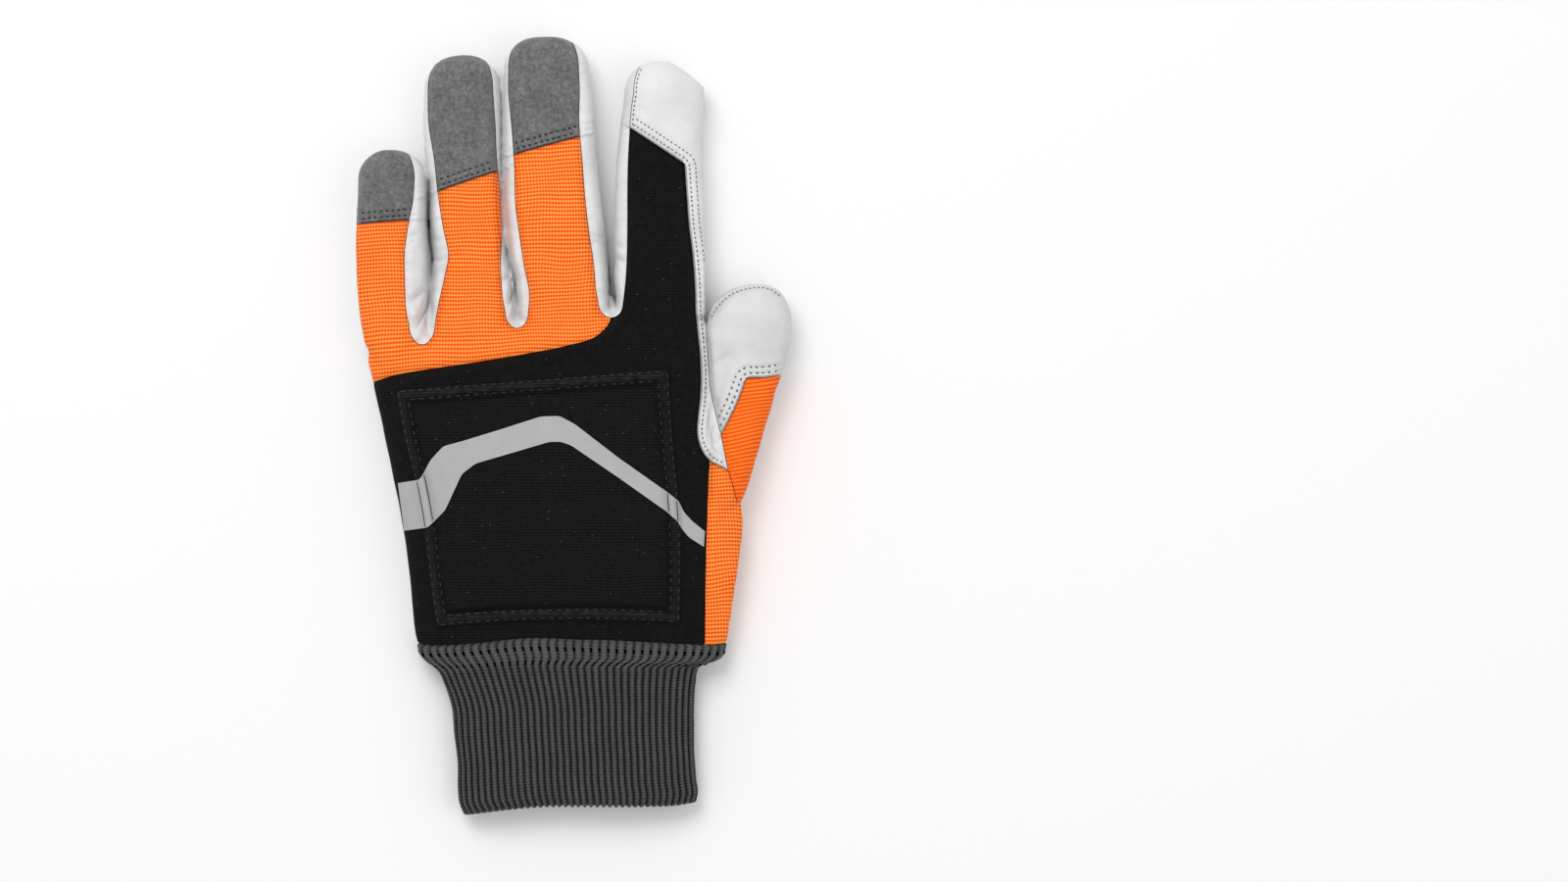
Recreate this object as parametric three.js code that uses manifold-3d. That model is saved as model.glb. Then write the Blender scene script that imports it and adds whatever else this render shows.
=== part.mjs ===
// A left-hand chainsaw work glove, lying palm down: fingers towards +Y, thumb towards +X, back of the hand up.
// All lengths are in millimetres. The walls are real thicknesses and the glove is hollow from the cuff to the tips.
import * as THREE from "three";
import { mergeVertices } from "three/addons/utils/BufferGeometryUtils.js";
import Module from "manifold-3d";

const wasm = await Module();
wasm.setup();

// Driving sizes of the hand.
const palmLength = 108; // wrist seam to the fork beside the middle finger
const palmWidth = 117; // across the knuckles
const palmHeight = 21; // lying height over the middle of the hand
const palmCentreX = -13.6;
const wristY = -74.3;
const forkSlope = 0.12; // the forks climb towards the index finger
const forkX = -18; // where the slope leaves the length as it is
const fingerHeight = 17.5;
const thumbHeight = 18;
const tipRound = 2.4; // power of the curve that closes a fingertip
const sideRound = 2.5; // power of the curve of every cross-section
const rootNarrow = 0.16; // share of its width by which a finger narrows on each side inside the hand

// Walls and gaps.
const clothWall = 1.8;
const leatherWall = 1.5;
const seamGap = 0.4; // between two panels that are sewn together
const restGap = 0.3; // between a piece and what it lies on
const palmSeamZ = 5; // height of the seam between palm leather and side walls
const backSeamZ = 9.5; // height at which the back cloth ends at the outer edges

// Knit cuff.
const cuffLength = 51; // on its shorter side, below the thumb
const cuffWidth = 105.5; // at the wrist seam
const cuffHeight = 16.5;
const cuffWall = 3;
const cuffCentreX = -0.7;
const ribCount = 40;
const ribDepth = 0.9;
const hemDrop = 7.5; // how far the hem hangs lower from one side of the cuff to the other

// Saw protection pad and the reflective band on it.
const padRise = 2.6;
const padEdge = 7; // width of the quilted border round the pad
const bandThickness = 1;

// Cross-sections of the hand. at: share of palmLength from the wrist seam; left, right: shares of palmWidth
// from palmCentreX; high: share of palmHeight.
const handSections = [
  { at: 0, left: -0.34, right: 0.56, high: 0.76 },
  { at: 0.06, left: -0.347, right: 0.568, high: 0.84 },
  { at: 0.17, left: -0.356, right: 0.584, high: 0.93 },
  { at: 0.3, left: -0.37, right: 0.601, high: 0.98 },
  { at: 0.39, left: -0.382, right: 0.606, high: 1 },
  { at: 0.48, left: -0.399, right: 0.585, high: 1 },
  { at: 0.57, left: -0.416, right: 0.547, high: 1 },
  { at: 0.67, left: -0.433, right: 0.512, high: 0.99 },
  { at: 0.79, left: -0.456, right: 0.501, high: 0.97 },
  { at: 0.88, left: -0.473, right: 0.5, high: 0.93 },
  { at: 0.95, left: -0.485, right: 0.495, high: 0.87 },
  { at: 0.99, left: -0.48, right: 0.49, high: 0.74 },
  { at: 1.02, left: -0.47, right: 0.48, high: 0.5 },
];

// Soft dents in the back of the hand. along, across: shares of palmLength and palmWidth from wrist seam and centre;
// long, wide: shares of the same; deep: share of palmHeight.
const handDents = [
  { name: "hollow behind the knuckles", along: 0.86, across: 0.05, long: 0.05, wide: 0.3, deep: 0.035 },
  { name: "hollow beside the thumb", along: 0.42, across: 0.47, long: 0.2, wide: 0.05, deep: 0.06 },
  { name: "dip above the cuff", along: 0.04, across: 0.2, long: 0.05, wide: 0.25, deep: 0.06 },
  { name: "swell over the little-finger edge", along: 0.7, across: -0.36, long: 0.2, wide: 0.06, deep: -0.03 },
];

// Fingers. root: the middle of the finger at its fork. Rows, from the fork to the start of the rounded tip, hold
// at: share of length; sideL, sideR: the outer faces; seamL, seamR: the edges of the cloth back, as shares of width.
// hem: the line at which the tip begins, and how far to the sides it reaches, in the same shares.
// leatherTip: the cloth back ends at the hem, and the leather of the tip runs on down the thumb side.
const fingers = {
  little: {
    root: [-61.7, 28],
    length: 65.5,
    width: 24.7,
    tip: -0.04,
    hem: { leftAt: 0.596, rightAt: 0.637, left: -1, right: 0.45 },
    rows: [
      { at: 0, sideL: -0.405, seamL: -0.9, seamR: 0.311, sideR: 0.486 },
      { at: 0.15, sideL: -0.473, seamL: -0.9, seamR: 0.203, sideR: 0.5 },
      { at: 0.3, sideL: -0.507, seamL: -0.9, seamR: 0.182, sideR: 0.505 },
      { at: 0.45, sideL: -0.507, seamL: -0.9, seamR: 0.176, sideR: 0.505 },
      { at: 0.61, sideL: -0.5, seamL: -0.9, seamR: 0.23, sideR: 0.493 },
      { at: 0.73, sideL: -0.493, seamL: -0.9, seamR: 0.291, sideR: 0.486 },
      { at: 0.84, sideL: -0.493, seamL: -0.9, seamR: 0.311, sideR: 0.459 },
    ],
  },
  ring: {
    root: [-36, 31],
    length: 94.3,
    width: 26.7,
    tip: -0.05,
    hem: { leftAt: 0.488, rightAt: 0.595, left: -0.6, right: 0.5 },
    rows: [
      { at: 0, sideL: -0.485, seamL: -0.438, seamR: 0.55, sideR: 0.6 },
      { at: 0.1, sideL: -0.47, seamL: -0.37, seamR: 0.46, sideR: 0.57 },
      { at: 0.2, sideL: -0.456, seamL: -0.29, seamR: 0.425, sideR: 0.535 },
      { at: 0.28, sideL: -0.456, seamL: -0.238, seamR: 0.42, sideR: 0.5 },
      { at: 0.37, sideL: -0.469, seamL: -0.3, seamR: 0.43, sideR: 0.475 },
      { at: 0.5, sideL: -0.488, seamL: -0.375, seamR: 0.41, sideR: 0.45 },
      { at: 0.62, sideL: -0.54, seamL: -0.42, seamR: 0.37, sideR: 0.43 },
      { at: 0.77, sideL: -0.575, seamL: -0.5, seamR: 0.345, sideR: 0.425 },
      { at: 0.88, sideL: -0.563, seamL: -0.506, seamR: 0.319, sideR: 0.419 },
    ],
  },
  middle: {
    root: [-6.3, 35],
    length: 97.4,
    width: 30,
    tip: -0.11,
    hem: { leftAt: 0.573, rightAt: 0.657, left: -0.56, right: 0.45 },
    rows: [
      { at: 0, sideL: -0.4, seamL: -0.311, seamR: 0.544, sideR: 0.62 },
      { at: 0.1, sideL: -0.455, seamL: -0.289, seamR: 0.467, sideR: 0.61 },
      { at: 0.2, sideL: -0.515, seamL: -0.35, seamR: 0.439, sideR: 0.6 },
      { at: 0.3, sideL: -0.543, seamL: -0.4, seamR: 0.389, sideR: 0.567 },
      { at: 0.4, sideL: -0.57, seamL: -0.444, seamR: 0.35, sideR: 0.528 },
      { at: 0.55, sideL: -0.588, seamL: -0.46, seamR: 0.31, sideR: 0.48 },
      { at: 0.71, sideL: -0.592, seamL: -0.5, seamR: 0.272, sideR: 0.439 },
      { at: 0.8, sideL: -0.592, seamL: -0.528, seamR: 0.278, sideR: 0.417 },
      { at: 0.88, sideL: -0.583, seamL: -0.528, seamR: 0.267, sideR: 0.378 },
    ],
  },
  index: {
    root: [28.7, 37.7],
    length: 86,
    width: 30,
    tip: 0.03,
    hem: { leftAt: 0.732, rightAt: 0.589, left: -0.317, right: 0.304 },
    leatherTip: true,
    rows: [
      { at: 0, sideL: -0.5, seamL: -0.411, seamR: 0.427, sideR: 0.53 },
      { at: 0.12, sideL: -0.5, seamL: -0.367, seamR: 0.417, sideR: 0.54 },
      { at: 0.23, sideL: -0.5, seamL: -0.35, seamR: 0.393, sideR: 0.533 },
      { at: 0.35, sideL: -0.5, seamL: -0.344, seamR: 0.35, sideR: 0.522 },
      { at: 0.46, sideL: -0.494, seamL: -0.344, seamR: 0.327, sideR: 0.506 },
      { at: 0.58, sideL: -0.478, seamL: -0.339, seamR: 0.305, sideR: 0.489 },
      { at: 0.7, sideL: -0.444, seamL: -0.322, seamR: 0.3, sideR: 0.483 },
      { at: 0.81, sideL: -0.406, seamL: -0.3, seamR: 0.3, sideR: 0.505 },
      { at: 0.87, sideL: -0.385, seamL: -0.275, seamR: 0.28, sideR: 0.52 },
    ],
  },
};

// The thumb lies beside the hand and opens into it below. Its rows are read as the fingers' rows are.
// high: share of thumbHeight, where it is less than all of it.
const thumb = {
  root: [60, -22.3],
  length: 70.2,
  width: 28,
  tip: 0.12,
  rows: [
    { at: -0.4, sideL: -0.6, sideR: -0.42, high: 0.6 },
    { at: -0.17, sideL: -0.631, sideR: -0.25, high: 0.86 },
    { at: 0, sideL: -0.607, sideR: -0.048 },
    { at: 0.19, sideL: -0.56, sideR: 0.095 },
    { at: 0.38, sideL: -0.518, sideR: 0.238 },
    { at: 0.48, sideL: -0.51, sideR: 0.31 },
    { at: 0.57, sideL: -0.53, sideR: 0.393 },
    { at: 0.69, sideL: -0.555, sideR: 0.464 },
    { at: 0.76, sideL: -0.545, sideR: 0.49 },
    { at: 0.8, sideL: -0.52, sideR: 0.5 },
  ],
};

// Cross-sections of the cuff. at: share of cuffLength from the wrist seam down; left, right: shares of cuffWidth;
// high: share of cuffHeight.
const cuffSections = [
  { at: 0, left: -0.5, right: 0.5, high: 1 },
  { at: 0.09, left: -0.478, right: 0.48, high: 0.98 },
  { at: 0.16, left: -0.438, right: 0.414, high: 0.92 },
  { at: 0.27, left: -0.411, right: 0.3997, high: 0.88 },
  { at: 0.48, left: -0.385, right: 0.393, high: 0.86 },
  { at: 0.96, left: -0.363, right: 0.403, high: 0.9 },
  { at: 1, left: -0.353, right: 0.396, high: 0.82 },
];

// Seam between the black back and the leather and cloth on the thumb side, from the wrist up.
const thumbSideSeam = [
  { across: 0.497, along: -0.05 },
  { across: 0.497, along: 0.003 },
  { across: 0.499, along: 0.173 },
  { across: 0.501, along: 0.296 },
  { across: 0.505, along: 0.43 },
  { across: 0.508, along: 0.53 },
  { across: 0.509, along: 0.5745 },
  { across: 0.497, along: 0.5905 },
  { across: 0.481, along: 0.627 },
  { across: 0.475, along: 0.665 },
  { across: 0.478, along: 0.713 },
  { across: 0.484, along: 0.774 },
  { across: 0.486, along: 0.836 },
  { across: 0.484, along: 0.898 },
  { across: 0.477, along: 0.975 },
];

// Areas of the panels beside the back, as outlines that run past the glove where it ends by itself.
const thumbLeatherArea = [
  { across: 0.5035, along: 1.747 },
  { across: 0.5035, along: 0.95 },
  { across: 0.508, along: 0.88 },
  { across: 0.514, along: 0.8 },
  { across: 0.53, along: 0.72 },
  { across: 0.545, along: 0.655 },
  { across: 0.574, along: 0.714 },
  { across: 0.597, along: 0.768 },
  { across: 0.6185, along: 0.834 },
  { across: 0.66, along: 0.834 },
  { across: 0.722, along: 0.843 },
  { across: 0.841, along: 0.857 },
  { across: 0.841, along: 1.747 },
];
const thumbBackArea = [
  { across: 0.566, along: 0.542 },
  { across: 0.582, along: 0.485 },
  { across: 0.605, along: 0.401 },
  { across: 0.841, along: 0.401 },
  { across: 0.841, along: 0.857 },
  { across: 0.722, along: 0.843 },
  { across: 0.66, along: 0.834 },
  { across: 0.6185, along: 0.834 },
  { across: 0.597, along: 0.768 },
  { across: 0.574, along: 0.714 },
  { across: 0.545, along: 0.655 },
];
const gussetArea = [
  { across: 0.442, along: -0.136 },
  { across: 0.841, along: -0.136 },
  { across: 0.841, along: 0.401 },
  { across: 0.605, along: 0.401 },
  { across: 0.582, along: 0.485 },
  { across: 0.566, along: 0.542 },
  { across: 0.541, along: 0.556 },
  { across: 0.52, along: 0.567 },
  { across: 0.509, along: 0.5745 },
  { across: 0.442, along: 0.5745 },
];
const indexLeatherArea = [
  { across: 0.2, along: 1.4 },
  { across: 0.363, along: 1.253 },
  { across: 0.414, along: 1.098 },
  { across: 0.414, along: 0.5 },
  { across: 0.7, along: 0.5 },
  { across: 0.7, along: 1.963 },
  { across: 0.2, along: 1.963 },
];

// Line between the black cloth and the orange knuckle cloth, from the little-finger edge to the fork at the index.
const knuckleSeam = [
  { across: -0.583, along: 0.802 },
  { across: -0.466, along: 0.821 },
  { across: -0.412, along: 0.839 },
  { across: -0.298, along: 0.861 },
  { across: -0.184, along: 0.879 },
  { across: -0.013, along: 0.91 },
  { across: 0.101, along: 0.935 },
  { across: 0.186, along: 0.966 },
  { across: 0.22, along: 1.006 },
  { across: 0.229, along: 1.043 },
];

// Saw pad. One row per line across it, from the wrist up.
const padRows = [
  { left: -0.281, leftAt: 0.047, right: 0.427, rightAt: 0.058 },
  { left: -0.3, leftAt: 0.185, right: 0.43, rightAt: 0.191 },
  { left: -0.3145, leftAt: 0.33, right: 0.43, rightAt: 0.33 },
  { left: -0.337, leftAt: 0.475, right: 0.422, rightAt: 0.475 },
  { left: -0.38, leftAt: 0.673, right: 0.404, rightAt: 0.691 },
  { left: -0.4, leftAt: 0.797, right: 0.395, rightAt: 0.864 },
];
// Height of the pad by the distance from its edge, as a share of padEdge: rim, quilted groove, full field.
const padProfile = [
  { at: 0, high: 0.42 },
  { at: 0.2, high: 0.75 },
  { at: 0.42, high: 0.72 },
  { at: 0.52, high: 0.5 },
  { at: 0.75, high: 0.85 },
  { at: 1.2, high: 1 },
];

// Reflective band, one row per line across it, from the little-finger edge over the chevron to the thumb side.
const bandRows = [
  { lowerX: -0.372, lowerAt: 0.355, upperX: -0.387, upperAt: 0.501 },
  { lowerX: -0.304, lowerAt: 0.367, upperX: -0.327, upperAt: 0.512 },
  { lowerX: -0.253, lowerAt: 0.423, upperX: -0.295, upperAt: 0.574 },
  { lowerX: -0.204, lowerAt: 0.531, upperX: -0.258, upperAt: 0.617 },
  { lowerX: -0.164, lowerAt: 0.565, upperX: -0.196, upperAt: 0.637 },
  { lowerX: -0.053, lowerAt: 0.6, upperX: -0.085, upperAt: 0.674 },
  { lowerX: 0.058, lowerAt: 0.635, upperX: 0.029, upperAt: 0.713 },
  { lowerX: 0.083, lowerAt: 0.632, upperX: 0.078, upperAt: 0.713 },
  { lowerX: 0.109, lowerAt: 0.623, upperX: 0.118, upperAt: 0.688 },
  { lowerX: 0.249, lowerAt: 0.521, upperX: 0.249, upperAt: 0.583 },
  { lowerX: 0.387, lowerAt: 0.415, upperX: 0.39, upperAt: 0.475 },
  { lowerX: 0.423, lowerAt: 0.375, upperX: 0.425, upperAt: 0.445 },
  { lowerX: 0.45, lowerAt: 0.336, upperX: 0.457, upperAt: 0.39 },
  { lowerX: 0.494, lowerAt: 0.304, upperX: 0.497, upperAt: 0.354 },
];

const materials = {
  leather: { color: 0xe4e4e2, roughness: 0.55 },
  suede: { color: 0x6b6c6e, roughness: 0.95 },
  orangeCloth: { color: 0xff6c12, roughness: 0.85 },
  blackCloth: { color: 0x141414, roughness: 0.95 },
  reflective: { color: 0xb4b5b6, roughness: 0.45 },
  knit: { color: 0x3a3b3d, roughness: 0.95 },
};

// Straight reading of one column of a table of sections.
function readColumn(rows, column, at) {
  const after = rows.findIndex((row) => row.at >= at);
  if (after === 0) return rows[0][column];
  if (after < 0) return rows[rows.length - 1][column];
  const [a, b] = [rows[after - 1], rows[after]];
  return a[column] + ((b[column] - a[column]) * (at - a.at)) / (b.at - a.at);
}

// A curve that falls from 1 to 0 as share goes from 0 to 1, round at its end.
const closing = (share, power) => Math.pow(1 - Math.pow(Math.min(1, share), power), 1 / power);

const signedPower = (value, power) => Math.sign(value) * Math.pow(Math.abs(value), power);

// Angles in degrees of the points on the flat underside of a finger's and of the hand's section.
const slimUnderside = [200, 228, 312, 340];
const wideUnderside = [195, 213, 228, 312, 327, 345];

// One closed cross-section, counter-clockwise seen from the wrist. Its underside lies flat on the floor.
function ring(section, inset, count, under) {
  const half = (section.right - section.left) / 2 - inset.side;
  const middle = (section.right + section.left) / 2;
  const waist = section.high * 0.48;
  const rise = (section.high - inset.top - waist) * section.puff;
  const fall = (waist - inset.bottom) * section.puff;
  const points = [];
  const even = Array.from({ length: count }, (_, k) => (360 * k) / count);
  const angles = under ? [...even.filter((angle) => angle <= 180), ...under] : even;
  for (const angle of angles.map(THREE.MathUtils.degToRad)) {
    const [c, s] = [Math.cos(angle), Math.sin(angle)];
    const x = middle + half * signedPower(c, 2 / sideRound);
    const up = signedPower(s, 2 / sideRound);
    const flat = Math.max(-1, 1.35 * up);
    const z = up > 0 ? waist + rise * up : waist + fall * flat;
    const dent = section.dent && up > 0 ? section.dent(x, section.y) * up : 0;
    points.push(new THREE.Vector3(x, section.y + (section.slope || 0) * (x - forkX), z - dent));
  }
  return points;
}

// A closed solid through rings of equal count, with flat ends.
function loft(rings) {
  const count = rings[0].length;
  const points = rings.flat();
  const faces = [];
  for (let i = 0; i < rings.length - 1; i++) {
    const [a, b] = [i * count, (i + 1) * count];
    for (let k = 0; k < count; k++) {
      const next = (k + 1) % count;
      faces.push(a + k, b + k, a + next, b + k, b + next, a + next);
    }
  }
  const last = (rings.length - 1) * count;
  const middleOf = (r) => r.reduce((sum, p) => sum.add(p), new THREE.Vector3()).divideScalar(count);
  points.push(middleOf(rings[0]), middleOf(rings[rings.length - 1]));
  for (let k = 0; k < count; k++) {
    const next = (k + 1) % count;
    faces.push(points.length - 2, k, next, points.length - 1, last + next, last + k);
  }
  return new THREE.BufferGeometry().setFromPoints(points).setIndex(faces);
}

function solidOf(geometry) {
  const bare = geometry.clone();
  bare.deleteAttribute("normal");
  bare.deleteAttribute("uv");
  const merged = mergeVertices(bare, 1e-4);
  const vertProperties = merged.attributes.position.array;
  const triVerts = new Uint32Array(merged.index.array);
  return new wasm.Manifold(new wasm.Mesh({ numProp: 3, vertProperties, triVerts }));
}

function geometryOf(solid) {
  const { vertProperties, triVerts } = solid.getMesh();
  const geometry = new THREE.BufferGeometry();
  geometry.setAttribute("position", new THREE.BufferAttribute(vertProperties, 3));
  geometry.setIndex(new THREE.BufferAttribute(triVerts, 1));
  return geometry;
}

// The largest body of a cut piece: offcuts where two seams cross are thrown away.
function mainBody(geometry) {
  const position = geometry.attributes.position;
  const index = geometry.index.array;
  const parent = Array.from({ length: position.count }, (_, i) => i);
  const rootOf = (i) => {
    while (parent[i] !== i) {
      parent[i] = parent[parent[i]];
      i = parent[i];
    }
    return i;
  };
  for (let t = 0; t < index.length; t += 3) {
    parent[rootOf(index[t + 1])] = rootOf(index[t]);
    parent[rootOf(index[t + 2])] = rootOf(index[t]);
  }
  const volumes = new Map();
  const [a, b, c] = [new THREE.Vector3(), new THREE.Vector3(), new THREE.Vector3()];
  for (let t = 0; t < index.length; t += 3) {
    a.fromBufferAttribute(position, index[t]);
    b.fromBufferAttribute(position, index[t + 1]);
    c.fromBufferAttribute(position, index[t + 2]);
    const body = rootOf(index[t]);
    volumes.set(body, (volumes.get(body) || 0) + a.dot(b.cross(c)) / 6);
  }
  const largest = [...volumes.entries()].reduce((best, entry) => (entry[1] > best[1] ? entry : best))[0];
  const kept = [];
  for (let t = 0; t < index.length; t += 3) {
    if (rootOf(index[t]) === largest) kept.push(index[t], index[t + 1], index[t + 2]);
  }
  return new THREE.BufferGeometry().setAttribute("position", position).setIndex(kept);
}

// An outline moved outwards by a distance, or inwards by a negative one. Outlines run counter-clockwise.
function grow(outline, by) {
  const count = outline.length;
  return outline.map((point, i) => {
    const before = outline[(i + count - 1) % count];
    const after = outline[(i + 1) % count];
    const inEdge = new THREE.Vector2().subVectors(point, before).normalize();
    const outEdge = new THREE.Vector2().subVectors(after, point).normalize();
    const normal = new THREE.Vector2(inEdge.y + outEdge.y, -inEdge.x - outEdge.x);
    const stretch = 2 / Math.max(0.5, normal.lengthSq());
    return new THREE.Vector2().copy(point).addScaledVector(normal, by * stretch);
  });
}

function prism(outline, zLow, zHigh) {
  const geometry = new THREE.ExtrudeGeometry(new THREE.Shape(outline), {
    depth: zHigh - zLow,
    bevelEnabled: false,
  });
  return solidOf(geometry.translate(0, 0, zLow));
}

// Cuts a skin along a seam. The two sides end half a seam gap from it.
const skyZ = 60; // above everything
const floorZ = -5; // below everything
function cutAlong(skin, outline, zLow = floorZ) {
  const half = seamGap / 2;
  const low = zLow === floorZ ? [floorZ, floorZ] : [zLow + half, zLow - half];
  const inside = skin.intersect(prism(grow(outline, -half), low[0], skyZ));
  const outside = skin.subtract(prism(grow(outline, half), low[1], skyZ));
  return [inside, outside];
}

// Everything beyond the knuckle seam except the index finger.
function orangeArea() {
  const seam = knuckleSeam.map(onHand);
  const last = seam[seam.length - 1];
  return [...seam, new THREE.Vector2(last.x, 140), new THREE.Vector2(-90, 140)];
}

const vectors = (points) => points.map(([x, y]) => new THREE.Vector2(x, y));

// Height that the dents take from the back of the hand at a point.
function dentDepth(x, y) {
  return handDents.reduce((depth, dent) => {
    const u = (y - wristY - dent.along * palmLength) / (dent.long * palmLength);
    const v = (x - palmCentreX - dent.across * palmWidth) / (dent.wide * palmWidth);
    return depth + dent.deep * palmHeight * Math.exp(-(u * u + v * v));
  }, 0);
}

function handSection(at) {
  const read = (column) => readColumn(handSections, column, at);
  return {
    y: wristY + at * palmLength,
    slope: forkSlope * at * at,
    left: palmCentreX + read("left") * palmWidth,
    right: palmCentreX + read("right") * palmWidth,
    high: read("high") * palmHeight,
    puff: 1,
    dent: dentDepth,
  };
}

// Height of the outside of the back of the hand at a point, with the dents.
function backHeight(x, y) {
  let at = (y - wristY) / palmLength;
  for (let i = 0; i < 4; i++) {
    at = (y - wristY - forkSlope * at * at * (x - forkX)) / palmLength;
  }
  const section = handSection(Math.max(0, at));
  const half = (section.right - section.left) / 2;
  const middle = (section.right + section.left) / 2;
  const across = Math.min(0.98, Math.abs((x - middle) / half));
  const up = closing(across, sideRound);
  const waist = section.high * 0.48;
  return waist + (section.high - waist) * up - dentDepth(x, y) * up;
}

// Solid of the hand without fingers. The hollow runs out past the wrist seam. lift: moves it up.
function handSolid(inset, reach, lift = 0) {
  const rings = handSections.map((row) => {
    const section = handSection(row.at);
    section.y -= row.at * inset.side;
    return ring(section, inset, 28, wideUnderside);
  });
  if (reach) rings.unshift(rings[0].map((p) => p.clone().setY(p.y - reach)));
  return solidOf(loft(rings).translate(0, 0, lift));
}

// Solid of a finger or thumb, from inside the hand to its rounded tip. The hollow has fewer sections.
const tipSteps = [0.4, 0.7, 0.88, 0.97];
function digitSolid(digit, high, inset, rootDepth) {
  const { root, length, width, rows, tip } = digit;
  const last = rows[rows.length - 1];
  const shorten = inset.side / length;
  const sectionAt = (at, row, share) => {
    const shut = closing(share, tipRound);
    return {
      y: root[1] + at * length,
      left: root[0] + width * (tip + (row.sideL - tip) * shut),
      right: root[0] + width * (tip + (row.sideR - tip) * shut),
      high: high * (row.high || 1),
      puff: Math.pow(shut, 0.7),
    };
  };
  const sections = rows.map((row) => sectionAt(row.at, row, 0));
  if (rootDepth) {
    const { sideL, sideR } = rows[0];
    const narrow = { sideL: sideL + rootNarrow, sideR: sideR - rootNarrow };
    sections.unshift({ ...sectionAt(rows[0].at - rootDepth / length, narrow, 0), high: high * 0.9 });
  }
  for (const step of tipSteps) {
    sections.push(sectionAt(last.at + (1 - shorten - last.at) * step, last, step));
  }
  const hollow = inset.side > 0;
  const used = hollow ? sections.filter((_, i) => i % 2 === 0 || i > rows.length) : sections;
  return solidOf(loft(used.map((section) => ring(section, inset, hollow ? 10 : 14, slimUnderside))));
}

// One seam of a finger's back, from its fork up its side and over to the middle of its tip.
const overTip = 1.02; // past the tip, so that the back covers its crown
function fingerSeam({ root, length, width, rows, tip }, side) {
  const last = rows[rows.length - 1];
  const point = (at, across) => new THREE.Vector2(root[0] + across * width, root[1] + at * length);
  const straight = rows.map((row) => point(row.at, row[side]));
  const arc = [0.5, 0.8, 0.95, 1].map((share) => {
    const across = tip + (last[side] - tip) * closing(share, tipRound);
    return point(last.at + (overTip - last.at) * share, across);
  });
  return [...straight, ...arc];
}

// Edge of the cloth on a finger's back, up one side, round the tip or along the hem and down the other.
function fingerBackOutline(finger) {
  const { root, length, width, hem, leatherTip } = finger;
  const right = fingerSeam(finger, "seamR");
  const left = fingerSeam(finger, "seamL").reverse();
  if (!leatherTip) return [...right, ...left.slice(1)];
  const point = (at, across) => new THREE.Vector2(root[0] + across * width, root[1] + at * length);
  const [lowEnd, highEnd] = [point(hem.rightAt, hem.right), point(hem.leftAt, hem.left)];
  const below = (seam, end) => seam.filter((p) => p.y < end.y - 1);
  return [...below(right, lowEnd), lowEnd, highEnd, ...below(left, highEnd)];
}

// The fork between two fingers: a small arc that joins the two edges of cloth below it.
function forkArc(from, to, drop) {
  const points = [];
  for (const turn of [0.2, 0.5, 0.8]) {
    const x = from.x + (to.x - from.x) * (0.5 - 0.5 * Math.cos(Math.PI * turn));
    const y = from.y + (to.y - from.y) * turn - drop * Math.sin(Math.PI * turn);
    points.push(new THREE.Vector2(x, y));
  }
  return points;
}

// A seam line of the hand, given by shares of palmWidth and palmLength.
const onHand = ({ across, along }) =>
  new THREE.Vector2(palmCentreX + across * palmWidth, wristY + along * palmLength);

// Outline of the cloth back, seen from above.
const forkDrop = 1.2;
function backOutline() {
  const digits = [fingers.index, fingers.middle, fingers.ring, fingers.little].map(fingerBackOutline);
  const outline = [onHand({ across: -0.4, along: -0.04 }), ...thumbSideSeam.map(onHand)];
  digits.forEach((digit, i) => {
    if (i > 0) outline.push(...forkArc(outline[outline.length - 1], digit[0], forkDrop));
    outline.push(...digit);
  });
  outline.push(onHand({ across: -0.53, along: 0.85 }));
  return outline;
}

const bare = { side: 0, top: 0, bottom: 0 };
const walls = { side: leatherWall, top: clothWall, bottom: leatherWall };

// The whole glove above the cuff as one hollow skin.
function gloveSkin() {
  const rootDepth = 14; // how far a finger's own section reaches into the hand
  const body = (inset, reach) =>
    Object.values(fingers)
      .map((finger) => digitSolid(finger, fingerHeight, inset, rootDepth))
      .concat(digitSolid(thumb, thumbHeight, inset, 0))
      .reduce((sum, digit) => sum.add(digit), handSolid(inset, reach));
  return body(bare, 0).subtract(body(walls, 5));
}

// A finger beyond its hem.
function tipOutline({ root, length, width, hem }) {
  const x = (across) => root[0] + across * width;
  const y = (at) => root[1] + at * length;
  return vectors([
    [x(hem.left), y(hem.leftAt)],
    [x(hem.right), y(hem.rightAt)],
    [x(hem.right), y(1.2)],
    [x(hem.left), y(1.2)],
  ]);
}

// Distance of a point to the edge of an outline, positive inside it.
function depthIn(outline, x, y) {
  let nearest = Infinity;
  let inside = false;
  outline.forEach((a, i) => {
    const b = outline[(i + 1) % outline.length];
    const [dx, dy] = [b.x - a.x, b.y - a.y];
    const t = Math.min(1, Math.max(0, ((x - a.x) * dx + (y - a.y) * dy) / (dx * dx + dy * dy)));
    nearest = Math.min(nearest, Math.hypot(x - a.x - t * dx, y - a.y - t * dy));
    if (a.y > y !== b.y > y && x < a.x + (dx * (y - a.y)) / dy) inside = !inside;
  });
  return inside ? nearest : -nearest;
}

// How far the pad stands up at a point, by the distance from its edge.
const padShape = [...padRows.map((row) => onHand({ across: row.right, along: row.rightAt }))];
padShape.push(...padRows.map((row) => onHand({ across: row.left, along: row.leftAt })).reverse());
function padLift(x, y) {
  const at = depthIn(padShape, x, y) / padEdge;
  return padRise * readColumn(padProfile, "high", Math.max(0, at));
}

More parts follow.
